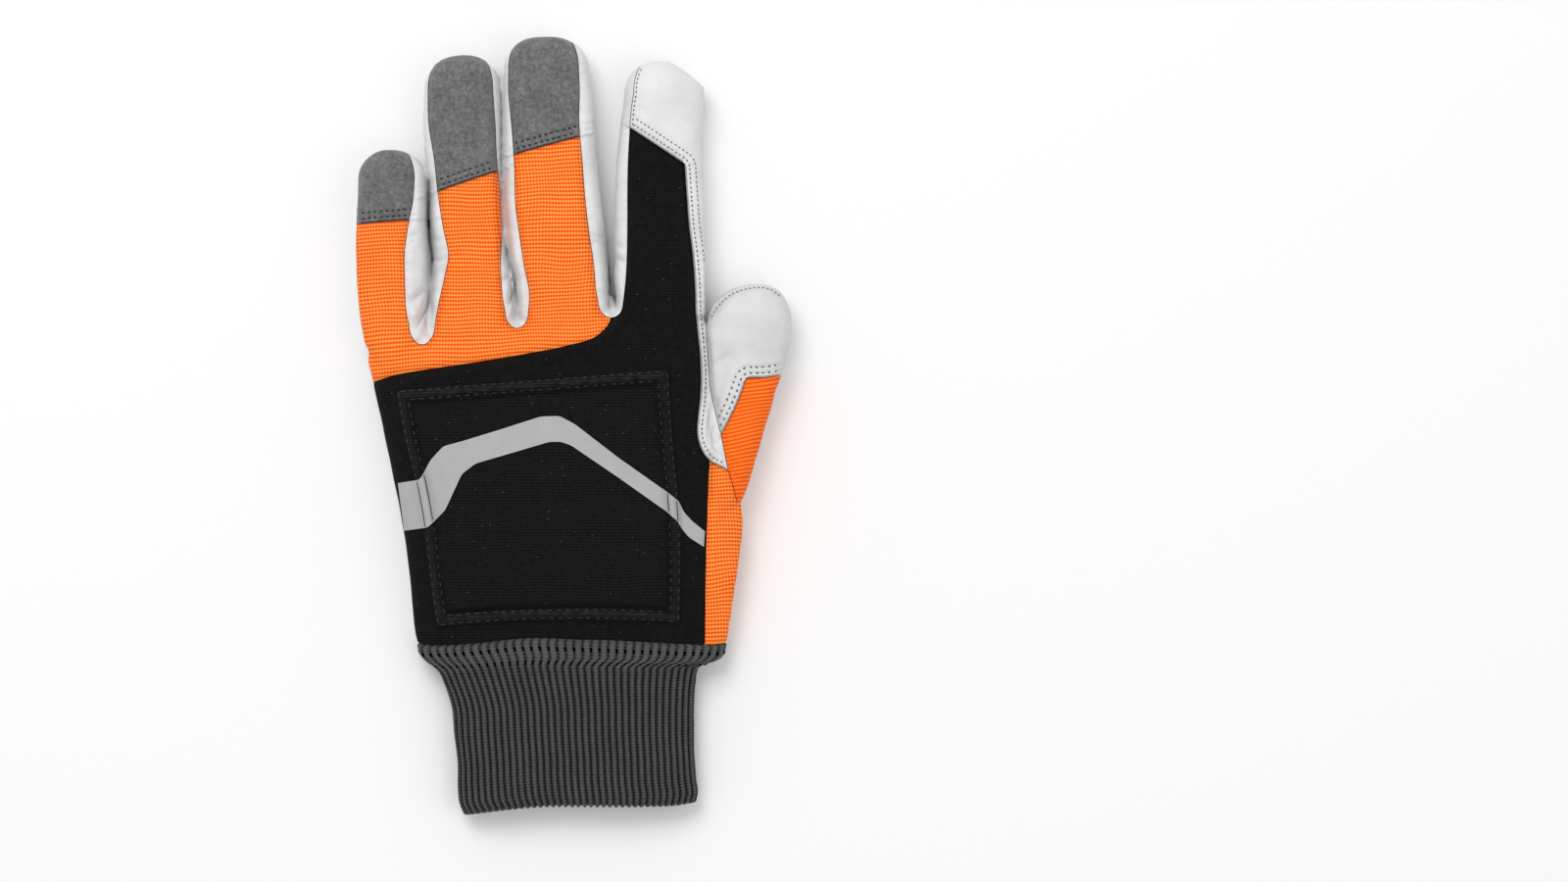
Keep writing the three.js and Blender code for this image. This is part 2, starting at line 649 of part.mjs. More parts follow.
// A blanket with the given top over a grid of points. What it lies on is cut away from below.
function blanket(grid, top, below) {
  const rows = grid.length;
  const count = grid[0].length;
  const points = grid.flat().map((p) => new THREE.Vector3(p.x, p.y, top(p.x, p.y)));
  points.push(...grid.flat().map((p) => new THREE.Vector3(p.x, p.y, backSeamZ)));
  const faces = [];
  const under = rows * count;
  const quad = (a, b, c, d) => faces.push(a, b, c, a, c, d);
  for (let i = 0; i < rows - 1; i++) {
    for (let k = 0; k < count - 1; k++) {
      const a = i * count + k;
      quad(a, a + 1, a + count + 1, a + count);
      quad(under + a, under + a + count, under + a + count + 1, under + a + 1);
    }
    const [first, last] = [i * count, i * count + count - 1];
    quad(first, first + count, under + first + count, under + first);
    quad(last, under + last, under + last + count, last + count);
  }
  const end = (rows - 1) * count;
  for (let k = 0; k < count - 1; k++) {
    quad(k, under + k, under + k + 1, k + 1);
    quad(end + k, end + k + 1, under + end + k + 1, under + end + k);
  }
  const solid = solidOf(new THREE.BufferGeometry().setFromPoints(points).setIndex(faces));
  return below.reduce((left, cutter) => left.subtract(cutter), solid);
}

const mix = (a, b, share) => new THREE.Vector2().lerpVectors(a, b, share);

// The pad as a grid whose lines run along its edges. by: moves every edge outwards.
function padGrid(by) {
  const steps = [0, 0.016, 0.04, 0.07, 0.2, 0.4, 0.6, 0.8, 0.93, 0.96, 0.984, 1];
  const rowAt = (share) => {
    const at = share * (padRows.length - 1);
    const i = Math.min(padRows.length - 2, Math.floor(at));
    const read = (column) => padRows[i][column] + (padRows[i + 1][column] - padRows[i][column]) * (at - i);
    const left = onHand({ across: read("left"), along: read("leftAt") });
    const right = onHand({ across: read("right"), along: read("rightAt") });
    const push = by * (2 * share - 1);
    left.add(new THREE.Vector2(-by, push));
    right.add(new THREE.Vector2(by, push));
    return steps.map((step) => mix(left, right, step));
  };
  return steps.map(rowAt);
}

function sawPad(hand) {
  const top = (x, y) => backHeight(x, y) + restGap + padLift(x, y);
  return blanket(padGrid(0), top, [hand]);
}

// The band follows the pad and drops off its edges on both sides.
function reflectiveBand(hand) {
  const grid = [];
  const across = [0, 0.33, 0.67, 1];
  const lowerEdge = bandRows.map((row) => onHand({ across: row.lowerX, along: row.lowerAt }));
  const upperEdge = bandRows.map((row) => onHand({ across: row.upperX, along: row.upperAt }));
  const fine = (edge) => edge.flatMap((p, i) => (i ? [mix(edge[i - 1], p, 0.5), p] : [p]));
  const [lower, upper] = [fine(lowerEdge), fine(upperEdge)];
  across.forEach((share) => grid.push(lower.map((p, i) => mix(p, upper[i], share))));
  const reach = 2.5; // the band bridges the step beside the pad over this length
  const lift = (x, y) => Math.max(padLift(x, y), padLift(x - reach, y), padLift(x + reach, y));
  const top = (x, y) => backHeight(x, y) + 2 * restGap + lift(x, y) + bandThickness;
  const padTop = (x, y) => backHeight(x, y) + 2 * restGap + padLift(x, y);
  const padCutter = blanket(padGrid(seamGap), padTop, []);
  return blanket(grid, top, [hand, padCutter]);
}

// Knitted tube. Ribs run along it. Its outside is one zigzag ring per section.
function knitCuff() {
  const sectionOf = (row) => ({
    y: wristY - seamGap - row.at * cuffLength,
    left: cuffCentreX + row.left * cuffWidth,
    right: cuffCentreX + row.right * cuffWidth,
    high: row.high * cuffHeight,
    puff: 1,
  });
  const hang = (p) => p.setY(p.y - hemDrop * ((wristY - p.y) / cuffLength) * (0.5 - p.x / cuffWidth));
  const outside = cuffSections.map((row) => {
    const out = ring(sectionOf(row), bare, 2 * ribCount);
    const grooves = ring(sectionOf(row), { side: ribDepth, top: ribDepth, bottom: 0 }, 2 * ribCount);
    return out.map((p, k) => hang(k % 2 ? p : grooves[k]));
  });
  const inset = { side: cuffWall, top: cuffWall, bottom: cuffWall };
  const inside = cuffSections.map((row) => ring(sectionOf(row), inset, 24).map(hang));
  const before = inside[0].map((p) => p.clone().setY(p.y + 5));
  const after = inside[inside.length - 1].map((p) => p.clone().setY(p.y - 5));
  const flip = (rings) => [...rings].reverse();
  return solidOf(loft(flip(outside))).subtract(solidOf(loft(flip([before, ...inside, after]))));
}

const group = new THREE.Group();
function addPiece(name, solid, material) {
  const geometry = mainBody(geometryOf(solid));
  const mesh = new THREE.Mesh(geometry, new THREE.MeshStandardMaterial(materials[material]));
  mesh.name = name;
  group.add(mesh);
}

const skin = gloveSkin();
const restingHand = handSolid(bare, 0, restGap);
const everywhere = vectors([[-90, -140], [90, -140], [90, 140], [-90, 140]]);
const [upperSkin, palmSkin] = cutAlong(skin, everywhere, palmSeamZ);
let [backCloth, sides] = cutAlong(upperSkin, backOutline(), backSeamZ);
addPiece("palm_leather", palmSkin, "leather");

for (const name of ["little", "ring", "middle"]) {
  let tip;
  [tip, backCloth] = cutAlong(backCloth, tipOutline(fingers[name]));
  addPiece(`tip_${name}`, tip, "suede");
}
const [knuckles, blackBack] = cutAlong(backCloth, orangeArea());
addPiece("knuckle_cloth", knuckles, "orangeCloth");
addPiece("back_cloth", blackBack, "blackCloth");
addPiece("saw_pad", sawPad(restingHand), "blackCloth");
addPiece("reflective_band", reflectiveBand(restingHand), "reflective");

const centreOf = ({ root, tip, width }) => root[0] + tip * width;
const between = (from, to) => {
  const [left, right] = [centreOf(from), centreOf(to)];
  const start = vectors([[left, 18], [right, 18]]);
  const end = vectors([[right, 140], [left, 140]]);
  if (!to.leatherTip) return [...start, ...end];
  const tipSeam = fingerSeam(to, "seamL").filter((p) => p.y > to.root[1] + to.hem.rightAt * to.length);
  return [...start, ...tipSeam, ...end];
};
const forks = [
  ["fourchette_little_ring", fingers.little, fingers.ring],
  ["fourchette_ring_middle", fingers.ring, fingers.middle],
  ["fourchette_middle_index", fingers.middle, fingers.index],
];
for (const [name, from, to] of forks) {
  let fourchette;
  [fourchette, sides] = cutAlong(sides, between(from, to));
  addPiece(name, fourchette, "leather");
}
for (const [name, outline, material] of [
  ["thumb_leather", thumbLeatherArea, "leather"],
  ["thumb_back", thumbBackArea, "orangeCloth"],
  ["side_gusset", gussetArea, "orangeCloth"],
  ["index_leather", indexLeatherArea, "leather"],
]) {
  let panel;
  [panel, sides] = cutAlong(sides, outline.map(onHand));
  addPiece(name, panel, material);
}
addPiece("outer_side_wall", sides, "leather");
addPiece("knit_cuff", knitCuff(), "knit");

// The origin is under the middle of the glove, on the floor.
const box = new THREE.Box3().setFromObject(group);
const middle = box.getCenter(new THREE.Vector3()).setZ(box.min.z);
group.children.forEach((mesh) => mesh.geometry.translate(-middle.x, -middle.y, -middle.z));

export default group;
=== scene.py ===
import math

import bmesh
import bpy
import numpy as np
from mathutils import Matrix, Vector
from mathutils.bvhtree import BVHTree
from mathutils.kdtree import KDTree


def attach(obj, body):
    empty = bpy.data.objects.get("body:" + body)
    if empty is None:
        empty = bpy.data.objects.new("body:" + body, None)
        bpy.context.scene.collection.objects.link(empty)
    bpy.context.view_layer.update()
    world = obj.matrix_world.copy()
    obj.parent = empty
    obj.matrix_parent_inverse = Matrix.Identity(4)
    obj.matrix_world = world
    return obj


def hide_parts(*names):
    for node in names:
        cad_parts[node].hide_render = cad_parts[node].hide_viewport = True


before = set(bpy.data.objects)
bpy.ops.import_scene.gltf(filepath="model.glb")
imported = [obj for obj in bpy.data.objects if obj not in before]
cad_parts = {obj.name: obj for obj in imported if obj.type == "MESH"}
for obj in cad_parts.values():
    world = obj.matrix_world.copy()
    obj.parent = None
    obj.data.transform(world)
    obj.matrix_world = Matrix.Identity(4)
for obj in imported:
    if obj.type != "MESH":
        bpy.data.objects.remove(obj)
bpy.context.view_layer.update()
scene = bpy.context.scene
mm = 0.001

# A left work glove lying palm down: fingers to +Y, thumb to +X. Shapes are worked out in millimetres.
handSizes = {
    "palmLength": 108.0, "palmWidth": 117.0, "palmHeight": 21.0, "centreX": -13.6, "wristY": -74.3,
    "forkSlope": 0.12, "forkX": -18.0, "fingerHeight": 17.5, "thumbHeight": 18.0,
    "tipRound": 2.15, "tipOver": 1.03, "sideRound": 2.5, "waist": 0.48, "underRound": 1.35,
    "rootNarrow": 0.28, "rootSink": 0.1, "rootDepth": 14.0, "wallRootY": 18.0, "hemClear": 0.6,
    "clothWall": 1.8, "leatherWall": 1.5, "seamGap": 0.24, "palmSeamZ": 5.0, "backSeamZ": 9.5,
}
# How finely the shell is worked, and how far its cutters reach
workSizes = {
    "fineVoxel": 0.66, "hollowVoxel": 2.0, "weldGap": 0.004, "smoothAngle": 38.0,
    "farX": 90.0, "farY": 140.0, "above": 60.0,
}

# at, left, right, high: shares of the palm's length, width (twice) and height
handSections = [
    (0, -0.34, 0.56, 0.76), (0.06, -0.347, 0.568, 0.84), (0.17, -0.356, 0.584, 0.93),
    (0.3, -0.37, 0.601, 0.98), (0.39, -0.382, 0.606, 1), (0.48, -0.399, 0.585, 1),
    (0.57, -0.416, 0.547, 1), (0.67, -0.433, 0.512, 0.99),
    (0.79, -0.456, 0.501, 0.97), (0.88, -0.473, 0.5, 0.93), (0.95, -0.485, 0.495, 0.87),
    (0.99, -0.48, 0.49, 0.74), (1.02, -0.47, 0.48, 0.5),
]
# along, across, long, wide: shares of palm length and width; deep: share of palm height
handDents = [
    (0.86, 0.05, 0.05, 0.3, 0.035), (0.42, 0.47, 0.2, 0.05, 0.06),
    (0.04, 0.2, 0.05, 0.25, 0.06), (0.7, -0.36, 0.2, 0.06, -0.03),
]

# rows: at as a share of the length, then sideL, seamL, seamR, sideR as shares of the width
fingers = {
    "little": {
        "root": (-61.7, 28.0), "length": 65.5, "width": 24.7, "tip": -0.04,
        "hem": (0.596, 0.637, -1, 0.45),
        "rows": [
            (0, -0.405, -0.9, 0.311, 0.486), (0.15, -0.473, -0.9, 0.203, 0.5),
            (0.3, -0.507, -0.9, 0.182, 0.505),
            (0.45, -0.507, -0.9, 0.176, 0.505), (0.61, -0.5, -0.9, 0.23, 0.493),
            (0.73, -0.493, -0.9, 0.291, 0.486), (0.84, -0.493, -0.9, 0.311, 0.459),
        ],
    },
    "ring": {
        "root": (-36.0, 31.0), "length": 94.3, "width": 26.7, "tip": -0.05,
        "hem": (0.488, 0.595, -0.6, 0.5),
        "rows": [
            (0, -0.485, -0.438, 0.55, 0.6), (0.1, -0.47, -0.37, 0.46, 0.57),
            (0.2, -0.456, -0.29, 0.425, 0.535),
            (0.28, -0.456, -0.238, 0.42, 0.5), (0.37, -0.469, -0.3, 0.43, 0.475),
            (0.5, -0.488, -0.375, 0.41, 0.45),
            (0.62, -0.54, -0.42, 0.37, 0.43), (0.77, -0.575, -0.5, 0.345, 0.425),
            (0.88, -0.563, -0.506, 0.319, 0.419),
        ],
    },
    "middle": {
        "root": (-6.3, 35.0), "length": 97.4, "width": 30.0, "tip": -0.11,
        "hem": (0.573, 0.657, -0.56, 0.45),
        "rows": [
            (0, -0.4, -0.311, 0.544, 0.62), (0.1, -0.455, -0.289, 0.467, 0.61),
            (0.2, -0.515, -0.35, 0.439, 0.6),
            (0.3, -0.543, -0.4, 0.389, 0.567), (0.4, -0.57, -0.444, 0.35, 0.528),
            (0.55, -0.588, -0.46, 0.31, 0.48),
            (0.71, -0.592, -0.5, 0.272, 0.439), (0.8, -0.592, -0.528, 0.278, 0.417),
            (0.88, -0.583, -0.528, 0.267, 0.378),
        ],
    },
    "index": {
        "root": (28.7, 37.7), "length": 86.0, "width": 30.0, "tip": 0.03,
        "hem": (0.732, 0.589, -0.317, 0.304),
        "rows": [
            (0, -0.5, -0.411, 0.427, 0.53), (0.12, -0.5, -0.367, 0.417, 0.54),
            (0.23, -0.5, -0.35, 0.393, 0.533),
            (0.35, -0.5, -0.344, 0.35, 0.522), (0.46, -0.494, -0.344, 0.327, 0.506),
            (0.58, -0.478, -0.339, 0.305, 0.489),
            (0.7, -0.444, -0.322, 0.3, 0.483), (0.81, -0.406, -0.3, 0.3, 0.505),
            (0.87, -0.385, -0.275, 0.28, 0.52),
        ],
    },
}
# at, sideL, sideR, high
thumb = {
    "root": (60.0, -22.3), "length": 70.2, "width": 28.0, "tip": 0.12,
    "rows": [
        (-0.4, -0.6, -0.42, 0.6), (-0.17, -0.631, -0.25, 0.86), (0, -0.607, -0.048, 1),
        (0.19, -0.56, 0.095, 1),
        (0.38, -0.518, 0.238, 1), (0.48, -0.51, 0.31, 1), (0.57, -0.53, 0.393, 1), (0.69, -0.555, 0.464, 1),
        (0.76, -0.545, 0.49, 1), (0.8, -0.52, 0.5, 1),
    ],
}

# Seams of the hand. Every point is a share of palm width across and of palm length along.
seams = {
    "thumbSide": [
        (0.497, -0.05), (0.497, 0.003), (0.499, 0.173), (0.501, 0.296), (0.505, 0.43), (0.508, 0.53),
        (0.509, 0.5745),
        (0.497, 0.5905), (0.481, 0.627), (0.475, 0.665), (0.478, 0.713), (0.484, 0.774), (0.486, 0.836),
        (0.484, 0.898), (0.477, 0.975),
    ],
    "knuckles": [
        (-0.583, 0.802), (-0.466, 0.821), (-0.412, 0.839), (-0.298, 0.861), (-0.184, 0.879), (-0.013, 0.91),
        (0.101, 0.935), (0.186, 0.966), (0.22, 1.006), (0.229, 1.043),
    ],
    "thumbHem": [(0.841, 0.857), (0.722, 0.843), (0.66, 0.834), (0.6185, 0.834)],
    "thumbSlant": [(0.6185, 0.834), (0.597, 0.768), (0.574, 0.714), (0.545, 0.655)],
    "thumbFold": [(0.566, 0.542), (0.582, 0.485), (0.5945, 0.442), (0.64, 0.434), (0.841, 0.434)],
    "tongue": [(0.566, 0.542), (0.541, 0.556), (0.52, 0.567), (0.509, 0.5745)],
    "stripEdge": [
        (0.545, 0.655), (0.53, 0.72), (0.514, 0.8), (0.508, 0.88), (0.5035, 0.95), (0.5035, 1.747),
    ],
    "tongueFold": [(0.566, 0.542), (0.545, 0.655)],
}

# The rounded bottoms of the leather between two fingers, by the finger on the thumb side:
# where it starts, its lowest y
forks = {"index": (40.5, 36.2), "middle": (37.5, 32.6), "ring": (33.5, 27.0)}

# Deep creases where the leather of two fingers meets: points, depth at the start and at the end, and how
# dark the painted shade in it is
creases = [
    (
        [(-49.5, 82.7), (-49.7, 70.3), (-49.2, 62.5), (-48.3, 56.8), (-48.7, 52.3), (-48.7, 48.7)],
        6.6, 4.0, 0.8,
    ),
    (
        [(-25.5, 121.0), (-24.8, 107.7), (-24.8, 83.0), (-24.6, 75.0), (-24.0, 63.0), (-22.6, 57.0)],
        4.2, 3.2, 0.25,
    ),
    (
        [(11.3, 66.0), (11.6, 61.4), (12.0, 55.0), (12.3, 48.6), (13.2, 44.6), (14.2, 39.4)],
        7.0, 0.6, 0.8,
    ),
]
# Folds of the leather round the forks: points, depth, width
folds = [
    ([(-49.2, 46.1), (-51.5, 44.9), (-53.8, 43.1), (-55.6, 41.3)], 0.9, 1.1),
    ([(-48.5, 49.5), (-49.3, 42.6), (-50.2, 38.5), (-52.3, 34.9), (-53.5, 32.4)], 1.7, 1.3),
    ([(-50.5, 37.5), (-50.2, 31.8)], 1.0, 1.1),
    ([(-55.8, 63.0), (-54.2, 64.3), (-52.8, 65.0)], 0.6, 0.8),
    ([(-55.6, 61.3), (-53.6, 63.0)], 0.5, 0.8),
    ([(-48.9, 56.3), (-45.8, 56.0), (-42.8, 55.8)], 0.8, 0.9),
    ([(-48.7, 63.7), (-44.9, 62.2)], 0.6, 0.9),
    ([(-23.8, 62.5), (-22.4, 55.8), (-20.2, 50.7), (-20.0, 45.5), (-19.5, 40.0), (-19.8, 34.5)], 2.4, 1.3),
    ([(-20.6, 48.0), (-21.0, 44.1), (-22.4, 40.0)], 1.5, 1.0),
    ([(-24.5, 48.2), (-21.4, 51.2)], 0.8, 1.1),
    ([(-19.3, 39.0), (-17.8, 34.9)], 0.7, 1.0),
    ([(12.3, 49.5), (13.6, 44.1), (14.6, 39.5)], 2.2, 1.4),
    ([(11.8, 42.1), (12.0, 39.0)], 1.0, 1.1),
    ([(6.2, 64.0), (8.5, 64.3), (10.8, 63.0)], 0.6, 0.9),
    ([(5.7, 61.0), (7.7, 62.5), (10.5, 60.6)], 0.6, 0.9),
    ([(13.8, 56.9), (15.8, 56.2), (17.6, 54.8)], 0.8, 1.0),
    ([(14.2, 61.5), (16.8, 60.0)], 0.5, 0.9),
    ([(46.5, 20.0), (51.0, 23.5), (57.0, 24.5)], 0.4, 2.4),
    ([(45.5, 12.0), (49.0, 8.0), (50.5, 1.0)], 0.5, 2.0),
]
# Where the index finger's tip is folded straight, how much of it, and how far down it reaches
tipFold = {"start": (33.2, 122.9), "end": (44.9, 114.3), "share": 0.85, "leastX": 20.0, "leastY": 95.0}
# Leather between the roots of the ring and middle finger, whose sides only just meet
web = {"x": -19.9, "low": 29.0, "high": 51.0, "half": 2.6, "tall": 8.8, "floor": 1.0}
# Lower edge of the back above the cuff: x and how far it is above the wrist line
wristEdge = [
    (-60, -0.8), (-44, -0.8), (-36, -0.3), (-16.5, 1.6), (5.5, 1.0), (30, -0.1), (45, -0.7), (60, -0.8),
]

print("glove: shape functions")


# Reads a smooth curve through one column of a table, by its first column
def smoothRead(table, column, at):
    xs = np.array([row[0] for row in table], float)
    ys = np.array([row[column] for row in table], float)
    at = np.clip(at, xs[0], xs[-1])
    slope = np.gradient(ys, xs)
    i = np.clip(np.searchsorted(xs, at, side="right") - 1, 0, len(xs) - 2)
    h = xs[i + 1] - xs[i]
    t = (at - xs[i]) / h
    a = (1 + 2 * t) * (1 - t) ** 2
    b = t * (1 - t) ** 2
    c = t * t * (3 - 2 * t)
    d = t * t * (t - 1)
    return a * ys[i] + b * h * slope[i] + c * ys[i + 1] + d * h * slope[i + 1]


# How wide a rounded end still is, by the share of the way to its tip
def closing(share, power):
    return (1 - np.clip(share, 0, 1) ** power) ** (1 / power)


def signedPower(value, power):
    return np.sign(value) * np.abs(value) ** power


# 1 in the middle and softly less on both sides
def bell(away, width):
    return np.exp(-(away / width) ** 2)


# Smooth random waves from a few seeded directions, about -1 to 1
def waves(points, size, seed):
    random = np.random.default_rng(seed)
    total = np.zeros(len(points))
    for _ in range(9):
        direction = random.normal(size=3)
        direction *= 2 * math.pi / (size * random.uniform(0.7, 1.5) * np.linalg.norm(direction))
        total += np.sin(points @ direction + random.uniform(0, 2 * math.pi))
    return total / 4.5


# One ring of the hand or a digit. inset: how far in from its sides, its top and its underside
def sectionRing(left, right, high, puff, inset, count):
    angle = np.arange(count) * 2 * math.pi / count
    half = (right - left) / 2 - inset[0]
    waist = high * handSizes["waist"]
    rise = (high - inset[1] - waist) * puff
    fall = (waist - inset[2]) * puff
    x = (right + left) / 2 + half * signedPower(np.cos(angle), 2 / handSizes["sideRound"])
    up = signedPower(np.sin(angle), 2 / handSizes["sideRound"])
    z = np.where(up > 0, waist + rise * up, waist + fall * np.maximum(-1, handSizes["underRound"] * up))
    return x, z, up


def dentDepth(x, y):
    depth = 0
    for along, across, long, wide, deep in handDents:
        u = (y - handSizes["wristY"] - along * handSizes["palmLength"]) / (long * handSizes["palmLength"])
        v = (x - handSizes["centreX"] - across * handSizes["palmWidth"]) / (wide * handSizes["palmWidth"])
        depth = depth + deep * handSizes["palmHeight"] * np.exp(-(u * u + v * v))
    return depth


def handEdges(at):
    left = handSizes["centreX"] + smoothRead(handSections, 1, at) * handSizes["palmWidth"]
    right = handSizes["centreX"] + smoothRead(handSections, 2, at) * handSizes["palmWidth"]
    return left, right, smoothRead(handSections, 3, at) * handSizes["palmHeight"]


# Height of the back of the hand under a point
def backHeight(x, y):
    at = (y - handSizes["wristY"]) / handSizes["palmLength"]
    for _ in range(4):
        lean = handSizes["forkSlope"] * at * at * (x - handSizes["forkX"])
        at = (y - handSizes["wristY"] - lean) / handSizes["palmLength"]
    left, right, high = handEdges(np.maximum(0, at))
    across = np.minimum(0.985, np.abs((x - (left + right) / 2) / ((right - left) / 2)))
    up = closing(across, handSizes["sideRound"])
    return high * handSizes["waist"] + high * (1 - handSizes["waist"]) * up - dentDepth(x, y) * up


def onHand(points):
    points = np.array(points, float)
    x = handSizes["centreX"] + points[:, 0] * handSizes["palmWidth"]
    y = handSizes["wristY"] + points[:, 1] * handSizes["palmLength"]
    return np.stack([x, y], 1)


# A curve through the points, with a point about every step
def smoothLine(points, step=1.0):
    points = np.asarray(points, float)
    run = np.concatenate([[0], np.cumsum(np.linalg.norm(np.diff(points, axis=0), axis=1))])
    count = max(2, int(run[-1] / step) + 1)
    at = np.linspace(0, run[-1], count)
    table = np.column_stack([run, points])
    return np.stack([smoothRead(table, 1, at), smoothRead(table, 2, at)], 1)


def makeMesh(name, points, faces):
    mesh = bpy.data.meshes.new(name)
    mesh.from_pydata((np.asarray(points) * mm).tolist(), [], faces)
    mesh.update()
    obj = bpy.data.objects.new(name, mesh)
    scene.collection.objects.link(obj)
    return obj


def bridgeFaces(rows, count, closedAcross):
    faces = []
    for i in range(rows - 1):
        for k in range(count if closedAcross else count - 1):
            n = (k + 1) % count
            faces.append((i * count + k, (i + 1) * count + k, (i + 1) * count + n, i * count + n))
    return faces


# A closed solid through rings of points, with flat ends
def makeLoft(name, rings):
    count = len(rings[0])
    faces = bridgeFaces(len(rings), count, True)
    faces.append(tuple(range(count)))
    faces.append(tuple(reversed(range((len(rings) - 1) * count, len(rings) * count))))
    return makeMesh(name, np.concatenate(rings), faces)


def selectOnly(*objects):
    bpy.ops.object.select_all(action="DESELECT")
    for obj in objects:
        obj.select_set(True)
    bpy.context.view_layer.objects.active = objects[0]


def applyModifier(obj, kind, **settings):
    modifier = obj.modifiers.new(kind.lower(), kind)
    for key, value in settings.items():
        setattr(modifier, key, value)
    selectOnly(obj)
    bpy.ops.object.modifier_apply(modifier=modifier.name)


def readPoints(obj):
    points = np.empty(len(obj.data.vertices) * 3)
    obj.data.vertices.foreach_get("co", points)
    return points.reshape(-1, 3) / mm


def writePoints(obj, points):
    obj.data.vertices.foreach_set("co", (points * mm).ravel())
    obj.data.update()


def readNormals(obj):
    normals = np.empty(len(obj.data.vertices) * 3, np.float32)
    obj.data.vertex_normals.foreach_get("vector", normals)
    return normals.reshape(-1, 3).astype(float)


def copyObject(obj, name):
    twin = bpy.data.objects.new(name, obj.data.copy())
    scene.collection.objects.link(twin)
    return twin


def dropObject(obj):
    mesh = obj.data
    bpy.data.objects.remove(obj)
    bpy.data.meshes.remove(mesh)


def handRings(inset, count, step, reach):
    sizes = handSizes
    rings = []
    for at in np.linspace(0, handSections[-1][0], int(110 / step)):
        left, right, high = handEdges(at)
        x, z, up = sectionRing(left, right, high, 1, inset, count)
        y = sizes["wristY"] + at * (sizes["palmLength"] - inset[0])
        z = z - dentDepth(x, y) * np.maximum(0, up)
        rings.append(np.stack([x, y + sizes["forkSlope"] * at * at * (x - sizes["forkX"]), z], 1))
    if reach:
        rings.insert(0, rings[0] - np.array([0, reach, 0]))
    return rings


# Rings of a finger or the thumb, from inside the hand to just short of the tip
def digitRings(digit, high, inset, count, step, rootDepth):
    rows = digit["rows"]
    length, width, tip = digit["length"], digit["width"], digit["tip"]
    isThumb = digit is thumb
    sideR = 2 if isThumb else 4

    def ringAt(at, share=0.0, left=None, right=None, tall=1.0):
        left = smoothRead(rows, 1, at) if left is None else left
        right = smoothRead(rows, sideR, at) if right is None else right
        tall = smoothRead(rows, 3, at) if isThumb else tall
        shut = closing(share, handSizes["tipRound"])
        x, z, up = sectionRing(
            digit["root"][0] + width * (tip + (left - tip) * shut),
            digit["root"][0] + width * (tip + (right - tip) * shut),
            high * tall, shut ** 0.7, inset, count,
        )
        return np.stack([x, np.full(count, digit["root"][1] + at * length), z], 1)

    rings = []
    first, last = rows[0][0], rows[-1][0]
    if rootDepth:
        narrow = handSizes["rootNarrow"]
        for share in np.linspace(1, 0, 9)[:-1]:
            left = rows[0][1] + narrow * share
            right = rows[0][sideR] - narrow * share
            tall = 1 - handSizes["rootSink"] * share
            rings.append(ringAt(first - share * rootDepth / length, 0, left, right, tall))
    for at in np.linspace(first, last, max(4, int((last - first) * length / step))):
        rings.append(ringAt(at))
    end = 1 - inset[0] / length
    for share in np.sin(np.linspace(0, math.pi / 2, 13))[1:-1]:
        at = last + (end - last) * share
        rings.append(ringAt(at, share, rows[-1][1], rows[-1][sideR]))
    return rings


def webRings(count=24):
    angle = np.linspace(0, 2 * math.pi, count, endpoint=False)
    rings = []
    for share in np.linspace(-0.98, 0.98, 9):
        size = math.sqrt(1 - share * share)
        x = web["x"] + web["half"] * size * np.cos(angle)
        y = (web["low"] + web["high"]) / 2 + share * (web["high"] - web["low"]) / 2
        z = web["floor"] + web["tall"] * (0.5 + 0.5 * size * np.sin(angle))
        rings.append(np.stack([x, np.full(count, y), z], 1))
    return rings


# The whole glove above the cuff as one closed solid, grown together by a remesh
def gloveBody(name, inset, count, step, reach, voxel):
    parts = [makeLoft(name, handRings(inset, count * 2, step, reach))]
    for digit in fingers.values():
        rings = digitRings(digit, handSizes["fingerHeight"], inset, count, step, handSizes["rootDepth"])
        parts.append(makeLoft("digit", rings))
    parts.append(makeLoft("digit", digitRings(thumb, handSizes["thumbHeight"], inset, count, step, 0)))
    if not reach:
        parts.append(makeLoft("web", webRings()))
    selectOnly(*parts)
    bpy.ops.object.join()
    body = parts[0]
    applyModifier(body, "REMESH", mode="VOXEL", voxel_size=voxel * mm, adaptivity=0)
    applyModifier(body, "SMOOTH", factor=0.5, iterations=4)
    return body


# One edge of the cloth on a finger's back, from the fork to the middle of the tip.
# column: 2 is left, 3 is right
def fingerEdge(finger, column):
    rows = finger["rows"]
    last = rows[-1][0]
    root, length, width, tip = finger["root"], finger["length"], finger["width"], finger["tip"]
    at = np.linspace(0, last, int(last * length))
    over = handSizes["tipOver"]
    arc = last + (over - last) * np.sin(np.linspace(0, math.pi / 2, 16))[1:]
    shut = closing((arc - last) / (over - last), handSizes["tipRound"])
    body = np.stack([root[0] + width * smoothRead(rows, column, at), root[1] + length * at], 1)
    cap = np.stack([root[0] + width * (tip + (rows[-1][column] - tip) * shut), root[1] + length * arc], 1)
    return np.concatenate([body, cap])


# Up one edge of a finger's cloth and down the other. The index finger's ends at its hem
def fingerOutline(finger):
    right, left = fingerEdge(finger, 3), fingerEdge(finger, 2)[::-1]
    if finger is not fingers["index"]:
        return np.concatenate([right, left[1:]])
    high, low = tipLine(finger)
    right = right[right[:, 1] < low[1] - handSizes["hemClear"]]
    left = left[left[:, 1] < high[1] - handSizes["hemClear"]]
    return np.concatenate([right, [low, high], left])


